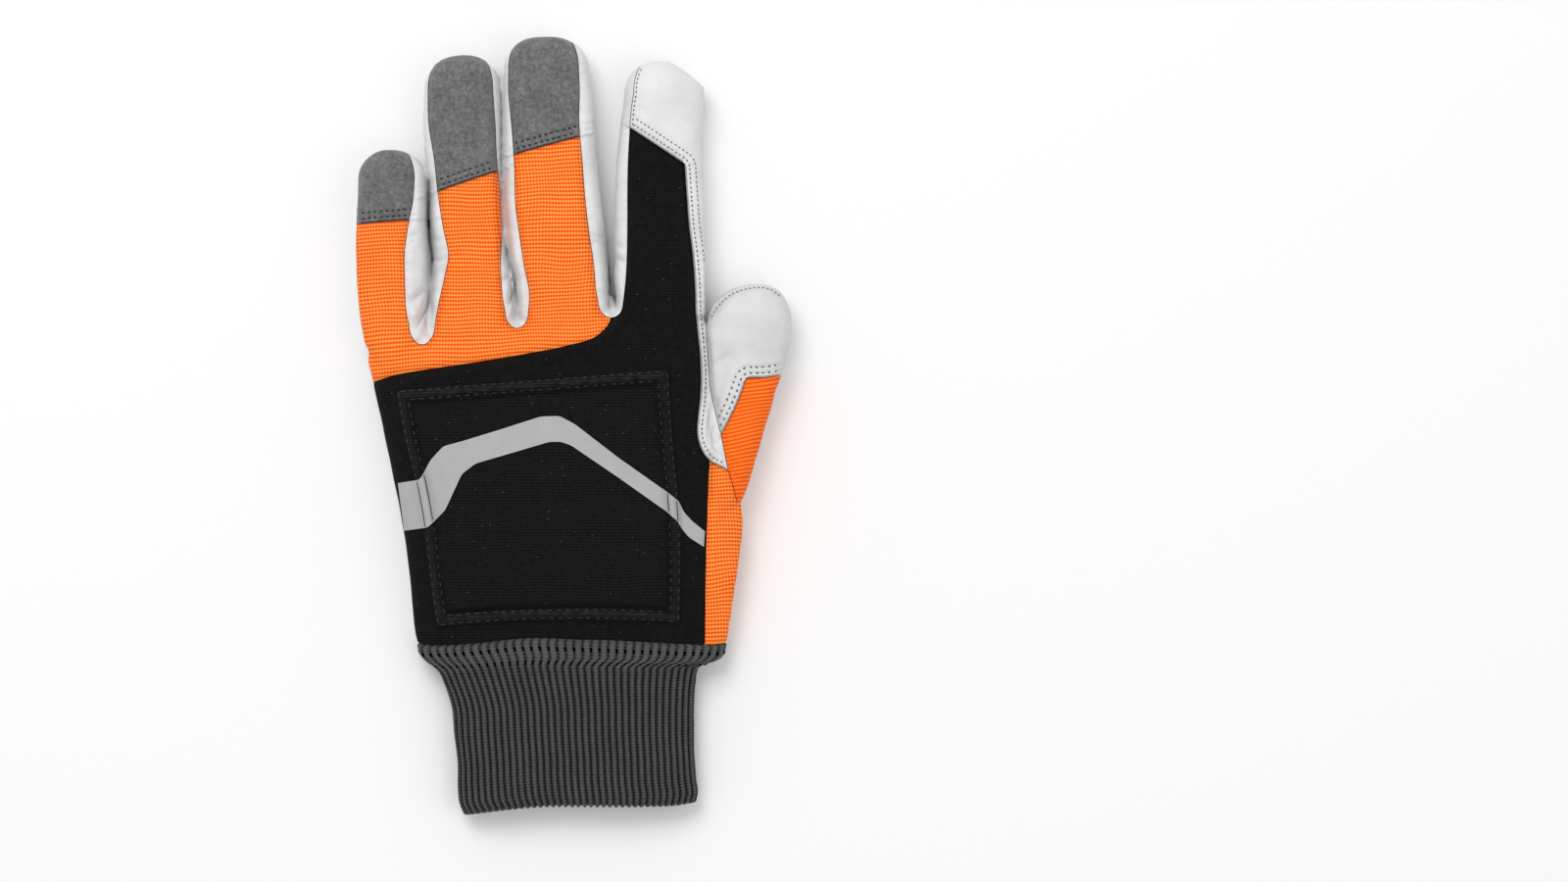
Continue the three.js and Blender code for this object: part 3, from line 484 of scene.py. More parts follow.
def backOutline():
    parts = [onHand([(-0.4, -0.04)]), smoothLine(onHand(seams["thumbSide"]))]
    above = None
    for name in ("index", "middle", "ring", "little"):
        digit = fingerOutline(fingers[name])
        if above:
            level, lowest = forks[above]
            before = parts[-1]
            while before[-1][1] < level:
                before = before[:-1]
            while digit[0][1] < level:
                digit = digit[1:]
            parts[-1] = before
            turn = np.linspace(0, math.pi, 15)[1:-1]
            middle, half = (before[-1] + digit[0]) / 2, (before[-1] - digit[0]) / 2
            x = middle[0] + half[0] * np.cos(turn)
            y = middle[1] + half[1] * np.cos(turn) - (middle[1] - lowest) * np.sin(turn)
            parts.append(np.stack([x, y], 1))
        parts.append(digit)
        above = name
    parts.append(onHand([(-0.53, 0.85)]))
    return np.concatenate(parts)


def tipLine(finger):
    leftAt, rightAt, left, right = finger["hem"]
    x = finger["root"][0] + finger["width"] * np.array([left, right])
    y = finger["root"][1] + finger["length"] * np.array([leftAt, rightAt])
    return np.stack([x, y], 1)


def tipOutline(finger):
    line = tipLine(finger)
    far = finger["root"][1] + finger["length"] * 1.2
    return np.concatenate([line, [[line[1][0], far], [line[0][0], far]]])


def joinLines(*lines):
    return np.concatenate([line if i == 0 else line[1:] for i, line in enumerate(lines)])


def seamLine(name, back=False):
    line = smoothLine(onHand(seams[name]))
    return line[::-1] if back else line


knuckleLine = seamLine("knuckles")
areas = {
    "knuckles": np.concatenate([
        knuckleLine, [[knuckleLine[-1][0], workSizes["farY"]], [-workSizes["farX"], workSizes["farY"]]],
    ]),
    "thumbLeather": joinLines(
        seamLine("stripEdge", True), seamLine("thumbSlant", True), seamLine("thumbHem", True),
        onHand([(0.841, 0.857), (0.841, 1.747)]),
    ),
    "thumbBack": joinLines(
        seamLine("thumbFold"), onHand([(0.841, 0.434), (0.841, 0.857)]),
        seamLine("thumbHem"), seamLine("thumbSlant"),
    ),
    "gusset": joinLines(
        onHand([(0.442, -0.136), (0.841, -0.136), (0.841, 0.434)]), seamLine("thumbFold", True),
        seamLine("tongue"), onHand([(0.509, 0.5745), (0.442, 0.5745)]),
    ),
    "indexLeather": onHand([
        (0.2, 1.4), (0.363, 1.253), (0.414, 1.098), (0.414, 0.5), (0.7, 0.5), (0.7, 1.963), (0.2, 1.963),
    ]),
}


# An outline moved outwards by a distance, with its doubled points left out
def growOutline(outline, by):
    keep = np.linalg.norm(outline - np.roll(outline, 1, 0), axis=1) > 1e-6
    outline = outline[keep]
    before = outline - np.roll(outline, 1, 0)
    after = np.roll(outline, -1, 0) - outline
    before /= np.linalg.norm(before, axis=1)[:, None]
    after /= np.linalg.norm(after, axis=1)[:, None]
    normal = np.stack([before[:, 1] + after[:, 1], -before[:, 0] - after[:, 0]], 1)
    stretch = 2 / np.maximum(0.8, (normal ** 2).sum(1))
    return outline + normal * (by * stretch)[:, None]


def makePrism(outline, low, high):
    count = len(outline)
    points = np.concatenate([np.column_stack([outline, np.full(count, z)]) for z in (low, high)])
    faces = [(k, (k + 1) % count, count + (k + 1) % count, count + k) for k in range(count)]
    faces.append(tuple(reversed(range(count))))
    faces.append(tuple(range(count, 2 * count)))
    return makeMesh("cutter", points, faces)


def applyBoolean(obj, cutter, operation):
    applyModifier(obj, "BOOLEAN", object=cutter, operation=operation, solver="MANIFOLD")
    dropObject(cutter)


# Cuts a panel out of a skin along a seam and returns it with what is left
def cutAlong(skin, outline, name, low=-5.0):
    half = handSizes["seamGap"] / 2
    raised = low > 0
    inside = copyObject(skin, name)
    top = workSizes["above"]
    applyBoolean(inside, makePrism(growOutline(outline, -half), low + half * raised, top), "INTERSECT")
    applyBoolean(skin, makePrism(growOutline(outline, half), low - half * raised, top), "DIFFERENCE")
    return inside


# A line of straight runs with its corners softened over a length, with a point about every step
def softLine(points, step=0.35, soften=1.4):
    points = np.asarray(points, float)
    run = np.concatenate([[0], np.cumsum(np.linalg.norm(np.diff(points, axis=0), axis=1))])
    at = np.linspace(0, run[-1], max(2, int(run[-1] / step) + 1))
    line = np.stack([np.interp(at, run, points[:, 0]), np.interp(at, run, points[:, 1])], 1)
    reach = min(int(soften / step), len(line) // 2 - 1)
    if reach < 1:
        return line
    before = 2 * line[0] - line[reach:0:-1]
    after = 2 * line[-1] - line[-2:-reach - 2:-1]
    weights = np.hanning(2 * reach + 3)[1:-1]
    weights /= weights.sum()
    longer = np.concatenate([before, line, after])
    return np.stack([np.convolve(longer[:, k], weights, "valid") for k in (0, 1)], 1)


# For every point the nearest place on some lines: its distance, which side, how far along
# in millimetres and as a share, and which line
def nearLines(lines, flat, step=0.35):
    samples = [softLine(line, step) for line in lines]
    tangents = np.concatenate([np.gradient(line, axis=0) for line in samples])
    runs = np.concatenate([np.arange(len(line)) * step for line in samples])
    shares = np.concatenate([np.linspace(0, 1, len(line)) for line in samples])
    owners = np.concatenate([np.full(len(line), i) for i, line in enumerate(samples)])
    samples = np.concatenate(samples)
    tree = KDTree(len(samples))
    for i, (x, y) in enumerate(samples.tolist()):
        tree.insert((x, y, 0), i)
    tree.balance()
    hits = [tree.find((x, y, 0)) for x, y in flat.tolist()]
    found = np.array([hit[1] for hit in hits])
    away = flat - samples[found]
    side = np.sign(tangents[found, 0] * away[:, 1] - tangents[found, 1] * away[:, 0])
    return np.array([hit[2] for hit in hits]), side, runs[found], shares[found], owners[found]


# From 0 at the start to 1 at the end, with a soft beginning and end
def ramp(value, start, end):
    share = np.clip((value - start) / (end - start), 0, 1)
    return share * share * (3 - 2 * share)


# The hem of the index finger's leather. Each hem has its leather or suede on the left of its direction
def stripLine():
    edge = fingerEdge(fingers["index"], 3)
    high, low = tipLine(fingers["index"])
    edge = edge[edge[:, 1] < low[1] - handSizes["hemClear"]][::-1]
    side = seamLine("thumbSide", True)
    side = side[(side[:, 1] < edge[-1][1]) & (side[:, 1] > onHand([(0, 0.58)])[0][1])]
    return np.concatenate([[high, low], edge, side, seamLine("tongue", True)])


suedeHems = [tipLine(fingers[name]) for name in ("little", "ring", "middle")]
indexHem = stripLine()
thumbHem = joinLines(seamLine("thumbSlant", True), seamLine("thumbHem", True))
thumbTop = np.array([
    (46.3, 36.5), (48.2, 39.9), (50.6, 42.4), (53.2, 44.6), (57.6, 46.3), (61.2, 46.9), (64.6, 47.0),
    (68.0, 46.0), (70.4, 43.9),
])

seamLook = {
    "depth": 0.7, "width": 0.9, "roll": 0.3, "rollAt": 2.6, "rollWidth": 1.5,
    "pucker": 0.16, "puckerPitch": 3.1, "puckerWidth": 2.4, "palmDepth": 0.4, "palmWidth": 0.8,
}
hemLook = {
    "rise": 0.55, "width": 4.6, "fade": 3.0, "stitchRows": (1.6, 3.6), "stitchDent": 0.4, "rowWidth": 0.5,
    "step": 0.35, "groove": 0.35, "grooveAt": 0.7, "wave": 0.16, "wavePitch": 2.7, "waveWidth": 1.6,
}
# Soft waves of the leather and cloth: depths, pitches and where they are strongest
wrinkleLook = {
    "crease": 0.4, "creasePitch": 6.0, "fine": 0.1, "finePitch": 2.6,
    "forkX": -18.0, "forkHalf": 38.0, "forkY": 46.0, "forkReach": 17.0,
    "sag": 0.5, "sagPitch": 30.0, "ripple": 0.16, "ripplePitch": 9.0,
    "wrist": 0.15, "wristPitch": 7.0, "wristReach": 7.0, "palm": 0.15, "palmPitch": 16.0,
}
# Creases and folds: how wide, from which height up, and the raised rim beside a fold
foldLook = {"creaseWidth": 3.6, "creaseFrom": 6.5, "foldFrom": 7.0, "rim": 0.3, "rimAt": 2.1}
# How much further the hollow is lowered under them, and down to which height
hollowLook = {"share": 1.3, "extra": 0.2, "lowest": 3.0}


# The nearest line of a table: its distance, how far along it, and the other values of its row
def nearRow(table, flat):
    distance, _, _, share, owner = nearLines([row[0] for row in table], flat)
    return distance, share, [np.array(column)[owner] for column in list(zip(*table))[1:]]


# How far the creases and folds of the leather lower a point
def creaseDrop(flat, height):
    look = foldLook
    distance, share, (start, end, _) = nearRow(creases, flat)
    near = np.clip(1 - distance / look["creaseWidth"], 0, 1)
    drop = (start + (end - start) * share) * (1 - np.sqrt(1 - near ** 2))
    drop *= np.clip((height - look["creaseFrom"]) / 5, 0, 1)
    distance, share, (deep, wide) = nearRow(folds, flat)
    fade = np.sin(math.pi * np.clip(share, 0.04, 0.96)) ** 0.5
    rim = look["rim"] * bell(distance - look["rimAt"] * wide, wide)
    dent = np.exp(-(distance / wide) ** 1.6) - rim
    return drop + deep * fade * dent * np.clip((height - look["foldFrom"]) / 4, 0, 1)


# The index finger's tip is cut off straight between two points, as its leather is folded there
def flattenTip(points, inset):
    (ax, ay), (bx, by) = tipFold["start"], tipFold["end"]
    length = math.hypot(bx - ax, by - ay)
    out = np.array([(ay - by) / length, (bx - ax) / length])
    beyond = (points[:, 0] - ax) * out[0] + (points[:, 1] - ay) * out[1] + inset
    atTip = (points[:, 0] > tipFold["leastX"]) * (points[:, 1] > tipFold["leastY"])
    back = np.maximum(beyond, 0) * tipFold["share"] * atTip
    points[:, :2] -= back[:, None] * out
    return points


# The hollow inside keeps clear of the creases, so that they don't break through the leather
def sculptHollow(body):
    points = flattenTip(readPoints(body), handSizes["leatherWall"])
    drop = hollowLook["share"] * creaseDrop(points[:, :2], points[:, 2]) + hollowLook["extra"]
    points[:, 2] -= np.clip(drop, 0, np.maximum(points[:, 2] - hollowLook["lowest"], 0))
    writePoints(body, points)


# Draws the skin in along seams, raises the hems, and creases and puckers it
def sculptSkin(body):
    seam, hems, wrinkles = seamLook, hemLook, wrinkleLook
    points = flattenTip(readPoints(body), 0)
    normals = readNormals(body)
    flat = points[:, :2]
    soft = points * np.array([1, 1, 0.4])
    upper = np.clip((points[:, 2] - handSizes["palmSeamZ"]) / 2, 0, 1)
    facing = np.clip(normals[:, 2] * 1.8, 0.1, 1) * upper
    outline = backOutline()
    foldSeam = softLine(onHand(seams["thumbFold"][:3]))
    plainSeams = [np.concatenate([outline, outline[:1]]), knuckleLine, foldSeam, thumbTop]
    plainSeams += [seamLine("tongueFold"), softLine(onHand(seams["stripEdge"][:-1]))]
    distance, _, run, _, _ = nearLines(plainSeams, flat)
    push = -seam["depth"] * bell(distance, seam["width"])
    push += seam["roll"] * bell(distance - seam["rollAt"], seam["rollWidth"])
    phase = 2 * math.pi * run / seam["puckerPitch"] + 1.6 * waves(soft, 14, 3)
    strength = 0.6 + 0.4 * waves(soft, 25, 5)
    push += seam["pucker"] * strength * np.sin(phase) * bell(distance, seam["puckerWidth"])
    push *= facing

    hemDistance, side, run, _, _ = nearLines(suedeHems + [indexHem, thumbHem], flat)
    signed = hemDistance * side
    raised = ramp(signed, -hems["step"], hems["step"])
    raised *= 1 - ramp(signed, hems["width"], hems["width"] + hems["fade"])
    rows = sum(bell(signed - at, hems["rowWidth"]) for at in hems["stitchRows"])
    hem = hems["rise"] * raised - hems["stitchDent"] * rows
    hem -= hems["groove"] * bell(signed + hems["grooveAt"], hems["grooveAt"])
    wavy = np.sin(2 * math.pi * run / hems["wavePitch"])
    hem += hems["wave"] * wavy * bell(signed - hems["waveWidth"], hems["waveWidth"])
    push += hem * facing

    covered = insideOutline(outline, flat)
    leather = (1 - covered) * np.clip((points[:, 2] - 4) / 3, 0, 1)
    nearFork = bell(points[:, 1] - wrinkles["forkY"], wrinkles["forkReach"])
    nearFork *= np.abs(points[:, 0] - wrinkles["forkX"]) < wrinkles["forkHalf"]
    crease = waves(points * np.array([0.35, 1.0, 0.35]), wrinkles["creasePitch"], 8)
    fine = waves(points * np.array([0.5, 1.0, 0.5]), wrinkles["finePitch"], 9)
    crease = wrinkles["crease"] * crease * (0.25 + 0.75 * nearFork)
    push += leather * (crease + wrinkles["fine"] * fine * nearFork) * upper
    besidePad = 1 - insideOutline(padOutline, flat)
    loose = upper * besidePad * covered
    push += wrinkles["sag"] * waves(soft * np.array([1, 0.45, 1]), wrinkles["sagPitch"], 11) * loose
    push += wrinkles["ripple"] * waves(soft * np.array([1, 0.7, 1]), wrinkles["ripplePitch"], 12) * loose
    atWrist = bell(points[:, 1] - handSizes["wristY"], wrinkles["wristReach"]) * upper * besidePad
    puckers = waves(points * np.array([1, 0.25, 0.4]), wrinkles["wristPitch"], 13)
    push += wrinkles["wrist"] * atWrist * puckers
    push -= seam["palmDepth"] * bell(points[:, 2] - handSizes["palmSeamZ"], seam["palmWidth"])
    lower = np.clip((4 - points[:, 2]) / 3, 0, 1)
    push += wrinkles["palm"] * lower * waves(soft, wrinkles["palmPitch"], 17)
    normals[:, 1] *= ramp(points[:, 1], handSizes["wristY"] + 0.5, handSizes["wristY"] + 4)
    points += normals * push[:, None]

    points[:, 2] -= creaseDrop(flat, points[:, 2])
    shift = smoothRead(wristEdge, 1, points[:, 0]) * ramp(points[:, 2], 7, 12)
    points[:, 1] += shift * (1 - ramp(points[:, 1], handSizes["wristY"], handSizes["wristY"] + 14))
    points[:, 2] = np.maximum(points[:, 2], 0)
    writePoints(body, points)


def insideOutline(outline, points):
    inside = np.zeros(len(points), bool)
    x, y = points[:, 0], points[:, 1]
    for a, b in zip(outline, np.roll(outline, -1, 0)):
        if a[1] == b[1]:
            continue
        crosses = (a[1] > y) != (b[1] > y)
        inside ^= crosses & (x < a[0] + (b[0] - a[0]) * (y - a[1]) / (b[1] - a[1]))
    return inside.astype(float)


pad = {
    "rise": 2.6, "edge": 7.0, "restGap": 0.3, "thinnest": 0.25, "bow": 2.2, "steps": 112,
    "swell": 0.3, "swellPitch": 26, "ripple": 0.12, "ripplePitch": 8,
    "dimple": 0.3, "dimpleWave": 0.14, "dimplePitch": 3.2, "dimpleWidth": 0.75,
    "outerStitchIn": 0.9, "innerStitchIn": 4.0,
    # left, leftAt, right, rightAt from the wrist up: shares of palm width and length
    "rows": [
        (-0.281, 0.047, 0.427, 0.058), (-0.3, 0.185, 0.43, 0.191), (-0.3145, 0.33, 0.43, 0.33),
        (-0.337, 0.475, 0.422, 0.475), (-0.38, 0.673, 0.404, 0.691), (-0.4, 0.797, 0.395, 0.864),
    ],
    # How high it stands by the distance from its edge: shares of edge and rise
    "profile": [
        (0, 0.14), (0.06, 0.36), (0.13, 0.46), (0.25, 0.82), (0.41, 0.84), (0.52, 0.54), (0.57, 0.44),
        (0.64, 0.58), (0.85, 0.9), (1.2, 1.0),
    ],
}
padLeft = smoothLine(onHand([(row[0], row[1]) for row in pad["rows"]]), 0.5)
padRight = smoothLine(onHand([(row[2], row[3]) for row in pad["rows"]]), 0.5)


# A place on the pad: u from its left edge to the right, v from its lower edge up
def padPlace(u, v):
    u, v = np.broadcast_arrays(np.asarray(u, float), np.asarray(v, float))
    left, right = [
        np.stack([np.interp(v * (len(edge) - 1), np.arange(len(edge)), edge[:, k]) for k in (0, 1)], -1)
        for edge in (padLeft, padRight)
    ]
    place = left + (right - left) * u[..., None]
    place[..., 1] += pad["bow"] * np.sin(math.pi * np.clip(u, 0, 1)) ** 0.7 * (1 - v) ** 4
    return place


padSide = np.linspace(0, 1, 40)
padOutline = np.concatenate([
    padPlace(padSide, 0.0)[:-1], padPlace(1.0, padSide)[:-1], padPlace(padSide[::-1], 1.0)[:-1],
    padPlace(0.0, padSide[::-1])[:-1],
])


# How deep a place lies inside an outline, less than 0 outside
def depthIn(outline, x, y):
    nearest = np.full(x.shape, 1e9)
    for a, b in zip(outline, np.roll(outline, -1, 0)):
        d = b - a
        t = np.clip(((x - a[0]) * d[0] + (y - a[1]) * d[1]) / (d @ d), 0, 1)
        nearest = np.minimum(nearest, np.hypot(x - a[0] - t * d[0], y - a[1] - t * d[1]))
    inside = insideOutline(outline, np.stack([x.ravel(), y.ravel()], 1)).reshape(x.shape)
    return np.where(inside > 0, nearest, -nearest)


def padLift(x, y):
    depth = depthIn(padOutline, x, y)
    return pad["rise"] * smoothRead(pad["profile"], 1, np.maximum(0, depth) / pad["edge"])


print("glove: skin")
bare = (0, 0, 0)
walls = (handSizes["leatherWall"], handSizes["clothWall"], handSizes["leatherWall"])
skin = gloveBody("skin", bare, count=72, step=1.0, reach=0, voxel=workSizes["fineVoxel"])
sculptSkin(skin)


def surfaceTree(*objects):
    points, faces = [], []
    for obj in objects:
        start = len(points)
        points += [tuple(p) for p in readPoints(obj)]
        faces += [tuple(start + v for v in polygon.vertices) for polygon in obj.data.polygons]
    return BVHTree.FromPolygons(points, faces)


# Where a straight look down on a surface first hits it, and the normal there
def lookDown(tree, x, y):
    return tree.ray_cast(Vector((x, y, workSizes["above"])), Vector((0, 0, -1)))[:2]


skinTree = surfaceTree(skin)
hollow = gloveBody("hollow", walls, count=28, step=3.0, reach=5, voxel=workSizes["hollowVoxel"])
sculptHollow(hollow)
applyBoolean(skin, hollow, "DIFFERENCE")
print("glove: panels from", len(skin.data.polygons), "faces")


# Takes out the spare points, doubled faces and loose bits that the cuts leave
def cleanPanel(obj):
    mesh = bmesh.new()
    mesh.from_mesh(obj.data)
    bmesh.ops.remove_doubles(mesh, verts=mesh.verts, dist=workSizes["weldGap"] * mm)
    spare = [vert for vert in mesh.verts if len(vert.link_edges) == 2]
    bmesh.ops.dissolve_verts(mesh, verts=spare)
    alike = {}
    for face in mesh.faces:
        alike.setdefault(frozenset(face.verts), []).append(face)
    doubled = [face for faces in alike.values() if len(faces) > 1 for face in faces]
    bmesh.ops.delete(mesh, geom=doubled, context="FACES")
    left = set(mesh.verts)
    groups = []
    while left:
        stack = [left.pop()]
        group = list(stack)
        while stack:
            for edge in stack.pop().link_edges:
                for vert in edge.verts:
                    if vert in left:
                        left.remove(vert)
                        stack.append(vert)
                        group.append(vert)
        groups.append(group)
    groups.sort(key=len)
    for group in groups[:-1]:
        bmesh.ops.delete(mesh, geom=group, context="VERTS")
    mesh.to_mesh(obj.data)
    mesh.free()


def facesOutwards(obj):
    selectOnly(obj)
    bpy.ops.object.mode_set(mode="EDIT")
    bpy.ops.mesh.select_all(action="SELECT")
    bpy.ops.mesh.normals_make_consistent(inside=False)
    bpy.ops.object.mode_set(mode="OBJECT")


# Painted shade in the creases and folds: widths and strengths of its line, halo and folds, its darkest
# value, and the thumb's painted shade
creaseShadeLook = {
    "lineWidth": 0.5, "halo": 0.25, "haloWidth": 2.0, "fold": 0.3, "deepestFold": 1.8, "foldWidth": 0.45,
    "darkest": 0.1, "thumbPaintedShade": 0.91,
}


# Painted shade in the creases and folds of the leather, kept as an attribute of its points
def shadeCreases(obj, tone):
    look = creaseShadeLook
    points = readPoints(obj)
    flat = points[:, :2]
    upper = ramp(points[:, 2], 4, 8)
    distance, share, (_, _, dark) = nearRow(creases, flat)
    dark = dark * upper * np.sin(math.pi * share) ** 0.7
    shade = 1 - dark * bell(distance, look["lineWidth"])
    shade -= look["halo"] * dark * bell(distance, look["haloWidth"])
    distance, share, (deep, wide) = nearRow(folds, flat)
    dark = look["fold"] * upper * np.minimum(deep, look["deepestFold"]) * np.sin(math.pi * share)
    shade -= dark * bell(distance, look["foldWidth"] * wide)
    layer = obj.data.attributes.new("creaseShade", "FLOAT", "POINT")
    layer.data.foreach_set("value", np.maximum(shade, look["darkest"]) * tone)


# Names a finished piece, gives it its material and smooth shading, hangs it on the root and hides the
# solids it stands for
def dressPiece(obj, name, slotName, material, *nodes):
    obj.name = name
    obj.data.name = name
    obj.data.materials.clear()
    obj.data.materials.append(material)
    selectOnly(obj)
    bpy.ops.object.shade_smooth_by_angle(angle=math.radians(workSizes["smoothAngle"]))
    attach(obj, "root")
    if nodes:
        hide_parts(*nodes)
    return obj


def setInputs(node, values):
    for name, value in values.items():
        node.inputs[name].default_value = value


# Starts a material with some inputs of its shader set. The helpers below return an output socket
def startMaterial(name, surface):
    material = bpy.data.materials.new(name)
    material.use_nodes = True
    nodes, links = material.node_tree.nodes, material.node_tree.links
    shader = nodes["Principled BSDF"]
    setInputs(shader, surface)
    place = nodes.new("ShaderNodeTexCoord").outputs["Object"]
    return material, nodes, links, shader, place


# Turns the pattern by degrees about the vertical
def turnPlace(nodes, links, place, degrees, stretch=(1, 1, 1)):
    mapping = nodes.new("ShaderNodeMapping")
    mapping.inputs["Rotation"].default_value = (0, 0, math.radians(degrees))
    mapping.inputs["Scale"].default_value = stretch
    links.new(place, mapping.inputs["Vector"])
    return mapping.outputs["Vector"]


def startNoise(nodes, links, place, size, detail):
    noise = nodes.new("ShaderNodeTexNoise")
    setInputs(noise, {"Scale": 1 / (size * mm), "Detail": detail})
    links.new(place, noise.inputs["Vector"])
    return noise


def addNoise(nodes, links, place, size, detail, rough=0.55, stretch=None):
    if stretch:
        place = turnPlace(nodes, links, place, 0, stretch)
    noise = startNoise(nodes, links, place, size, detail)
    noise.inputs["Roughness"].default_value = rough
    return noise.outputs["Fac"]


# Lets a straight pattern wander sideways by up to an amount in millimetres
def addWander(nodes, links, place, size, amount):
    noise = startNoise(nodes, links, place, size, 1.0)
    shift = nodes.new("ShaderNodeVectorMath")
    shift.operation = "MULTIPLY_ADD"
    shift.inputs[1].default_value = (2 * amount * mm,) * 3
    links.new(noise.outputs["Color"], shift.inputs[0])
    links.new(place, shift.inputs[2])
    return shift.outputs["Vector"]


# Straight ridges: pitch in millimetres, measured along the axis
def addRidges(nodes, links, place, axis, pitch, distortion):
    wave = nodes.new("ShaderNodeTexWave")
    wave.wave_type = "BANDS"
    wave.bands_direction = axis
    wave.wave_profile = "SIN"
    setInputs(wave, {"Scale": 2 * math.pi / (20 * pitch * mm), "Distortion": distortion})
    setInputs(wave, {"Detail": 1.0, "Detail Scale": 2.0})
    links.new(place, wave.inputs["Vector"])
    return wave.outputs["Fac"]


def addCells(nodes, links, place, size, feature="DISTANCE_TO_EDGE"):
    cells = nodes.new("ShaderNodeTexVoronoi")
    cells.feature = feature
    cells.inputs["Scale"].default_value = 1 / (size * mm)
    links.new(place, cells.inputs["Vector"])
    return cells.outputs["Distance"]


def addRamp(nodes, links, value, stops):
    node = nodes.new("ShaderNodeValToRGB")
    while len(node.color_ramp.elements) < len(stops):
        node.color_ramp.elements.new(0.5)
    for element, (at, color) in zip(node.color_ramp.elements, stops):
        element.position = at
        element.color = (*color, 1)
    links.new(value, node.inputs["Fac"])
    return node.outputs["Color"]


def addAttribute(nodes, name):
    node = nodes.new("ShaderNodeAttribute")
    node.attribute_name = name
    return node.outputs["Fac"]


def addMath(nodes, links, operation, a, b=0.0):
    node = nodes.new("ShaderNodeMath")
    node.operation = operation
    for socket, value in zip(node.inputs, (a, b)):
        if isinstance(value, (int, float)):
            socket.default_value = value
        else:
            links.new(value, socket)
    return node.outputs[0]


# Weighted sum of two values
def addBlend(nodes, links, a, weightA, b, weightB):
    first = addMath(nodes, links, "MULTIPLY", a, weightA)
    second = addMath(nodes, links, "MULTIPLY", b, weightB)
    return addMath(nodes, links, "ADD", first, second)


def addTint(nodes, links, factor, base, tint, blend="MULTIPLY"):
    node = nodes.new("ShaderNodeMix")
    node.data_type = "RGBA"
    node.blend_type = blend
    node.inputs["Factor"].default_value = factor
    links.new(base, node.inputs[6])
    links.new(tint, node.inputs[7])
    return node.outputs[2]


# Bumps in a chain, each (height socket, strength, depth in millimetres)
def addBumps(nodes, links, shader, bumps):
    normal = None
    for height, strength, depth in bumps:
        bump = nodes.new("ShaderNodeBump")
        bump.inputs["Strength"].default_value = strength
        bump.inputs["Distance"].default_value = depth * mm
        links.new(height, bump.inputs["Height"])
        if normal:
            links.new(normal, bump.inputs["Normal"])
        normal = bump.outputs["Normal"]
    links.new(normal, shader.inputs["Normal"])


def linkRoughness(nodes, links, shader, value, low, high):
    spread = nodes.new("ShaderNodeMapRange")
    spread.inputs["To Min"].default_value = low
    spread.inputs["To Max"].default_value = high
    links.new(value, spread.inputs["Value"])
    links.new(spread.outputs["Result"], shader.inputs["Roughness"])


leatherLook = {
    "light": (0.69, 0.69, 0.695), "dark": (0.6, 0.6, 0.605), "wear": (0.93, 0.928, 0.92),
    "broad": 16, "grain": 0.75, "fine": 0.5, "wrinkles": 3.4, "roughness": (0.4, 0.62),
    "surface": {"Specular IOR Level": 0.45},
}


def makeLeather():
    look = leatherLook
    material, nodes, links, shader, place = startMaterial("whiteGrainLeather", look["surface"])
    broad = addNoise(nodes, links, place, look["broad"], 3)
    grain = addCells(nodes, links, place, look["grain"])
    fine = addNoise(nodes, links, place, look["fine"], 4)
    wrinkles = addNoise(nodes, links, place, look["wrinkles"], 5, 0.6, (1.0, 2.2, 1.0))
    tone = addRamp(nodes, links, broad, [(0.3, look["dark"]), (0.62, look["light"])])
    wear = addRamp(nodes, links, wrinkles, [(0.3, look["wear"]), (0.44, (1, 1, 1))])
    tone = addTint(nodes, links, 0.7, tone, wear)
    # Painted shade in the creases and folds, from the creaseShade attribute
    tone = addTint(nodes, links, 1.0, tone, addAttribute(nodes, "creaseShade"))
    links.new(tone, shader.inputs["Base Color"])
    linkRoughness(nodes, links, shader, wrinkles, *look["roughness"])
    addBumps(nodes, links, shader, [(wrinkles, 0.4, 0.35), (grain, 0.35, 0.12), (fine, 0.25, 0.05)])
    return material


suedeLook = {
    "low": (0.036, 0.036, 0.037), "mid": (0.122, 0.122, 0.123), "high": (0.27, 0.27, 0.271),
    "nap": 1.6, "napShare": 0.88, "cloud": 8, "fibre": 0.4,
    "surface": {"Roughness": 0.95, "Sheen Weight": 0.2, "Sheen Roughness": 0.5},
}


def makeSuede():
    look = suedeLook
    material, nodes, links, shader, place = startMaterial("greyNappedSuede", look["surface"])
    nap = addNoise(nodes, links, place, look["nap"], 9, 0.92)
    cloud = addNoise(nodes, links, place, look["cloud"], 3)
    fibre = addNoise(nodes, links, place, look["fibre"], 5, 0.7)
    mixed = addBlend(nodes, links, nap, look["napShare"], cloud, 1 - look["napShare"])
    tone = addRamp(nodes, links, mixed, [(0.36, look["low"]), (0.5, look["mid"]), (0.66, look["high"])])
    links.new(tone, shader.inputs["Base Color"])
    addBumps(nodes, links, shader, [(nap, 0.5, 0.25), (fibre, 0.6, 0.12)])
    return material


orangeLook = {
    "groove": (0.78, 0.075, 0.003), "body": (1.0, 0.19, 0.012), "crest": (1.0, 0.36, 0.09),
    "ribPitch": 1.33, "threadPitch": 1.0, "ribShare": 0.62, "turn": -2.0,
}
thumbClothLook = {
    "groove": (0.85, 0.085, 0.002), "body": (1.0, 0.155, 0.005), "crest": (1.0, 0.25, 0.04),
    "ribPitch": 1.33, "threadPitch": 0.8, "ribShare": 0.82, "turn": -9.0,
}
# What the two orange cloths have in common
ribbedLook = {
    "wander": (28, 2.2), "unrest": 0.25, "patches": 10, "worn": (0.94, 0.9, 0.88),
    "surface": {"Roughness": 0.85, "Specular IOR Level": 0.12},
}


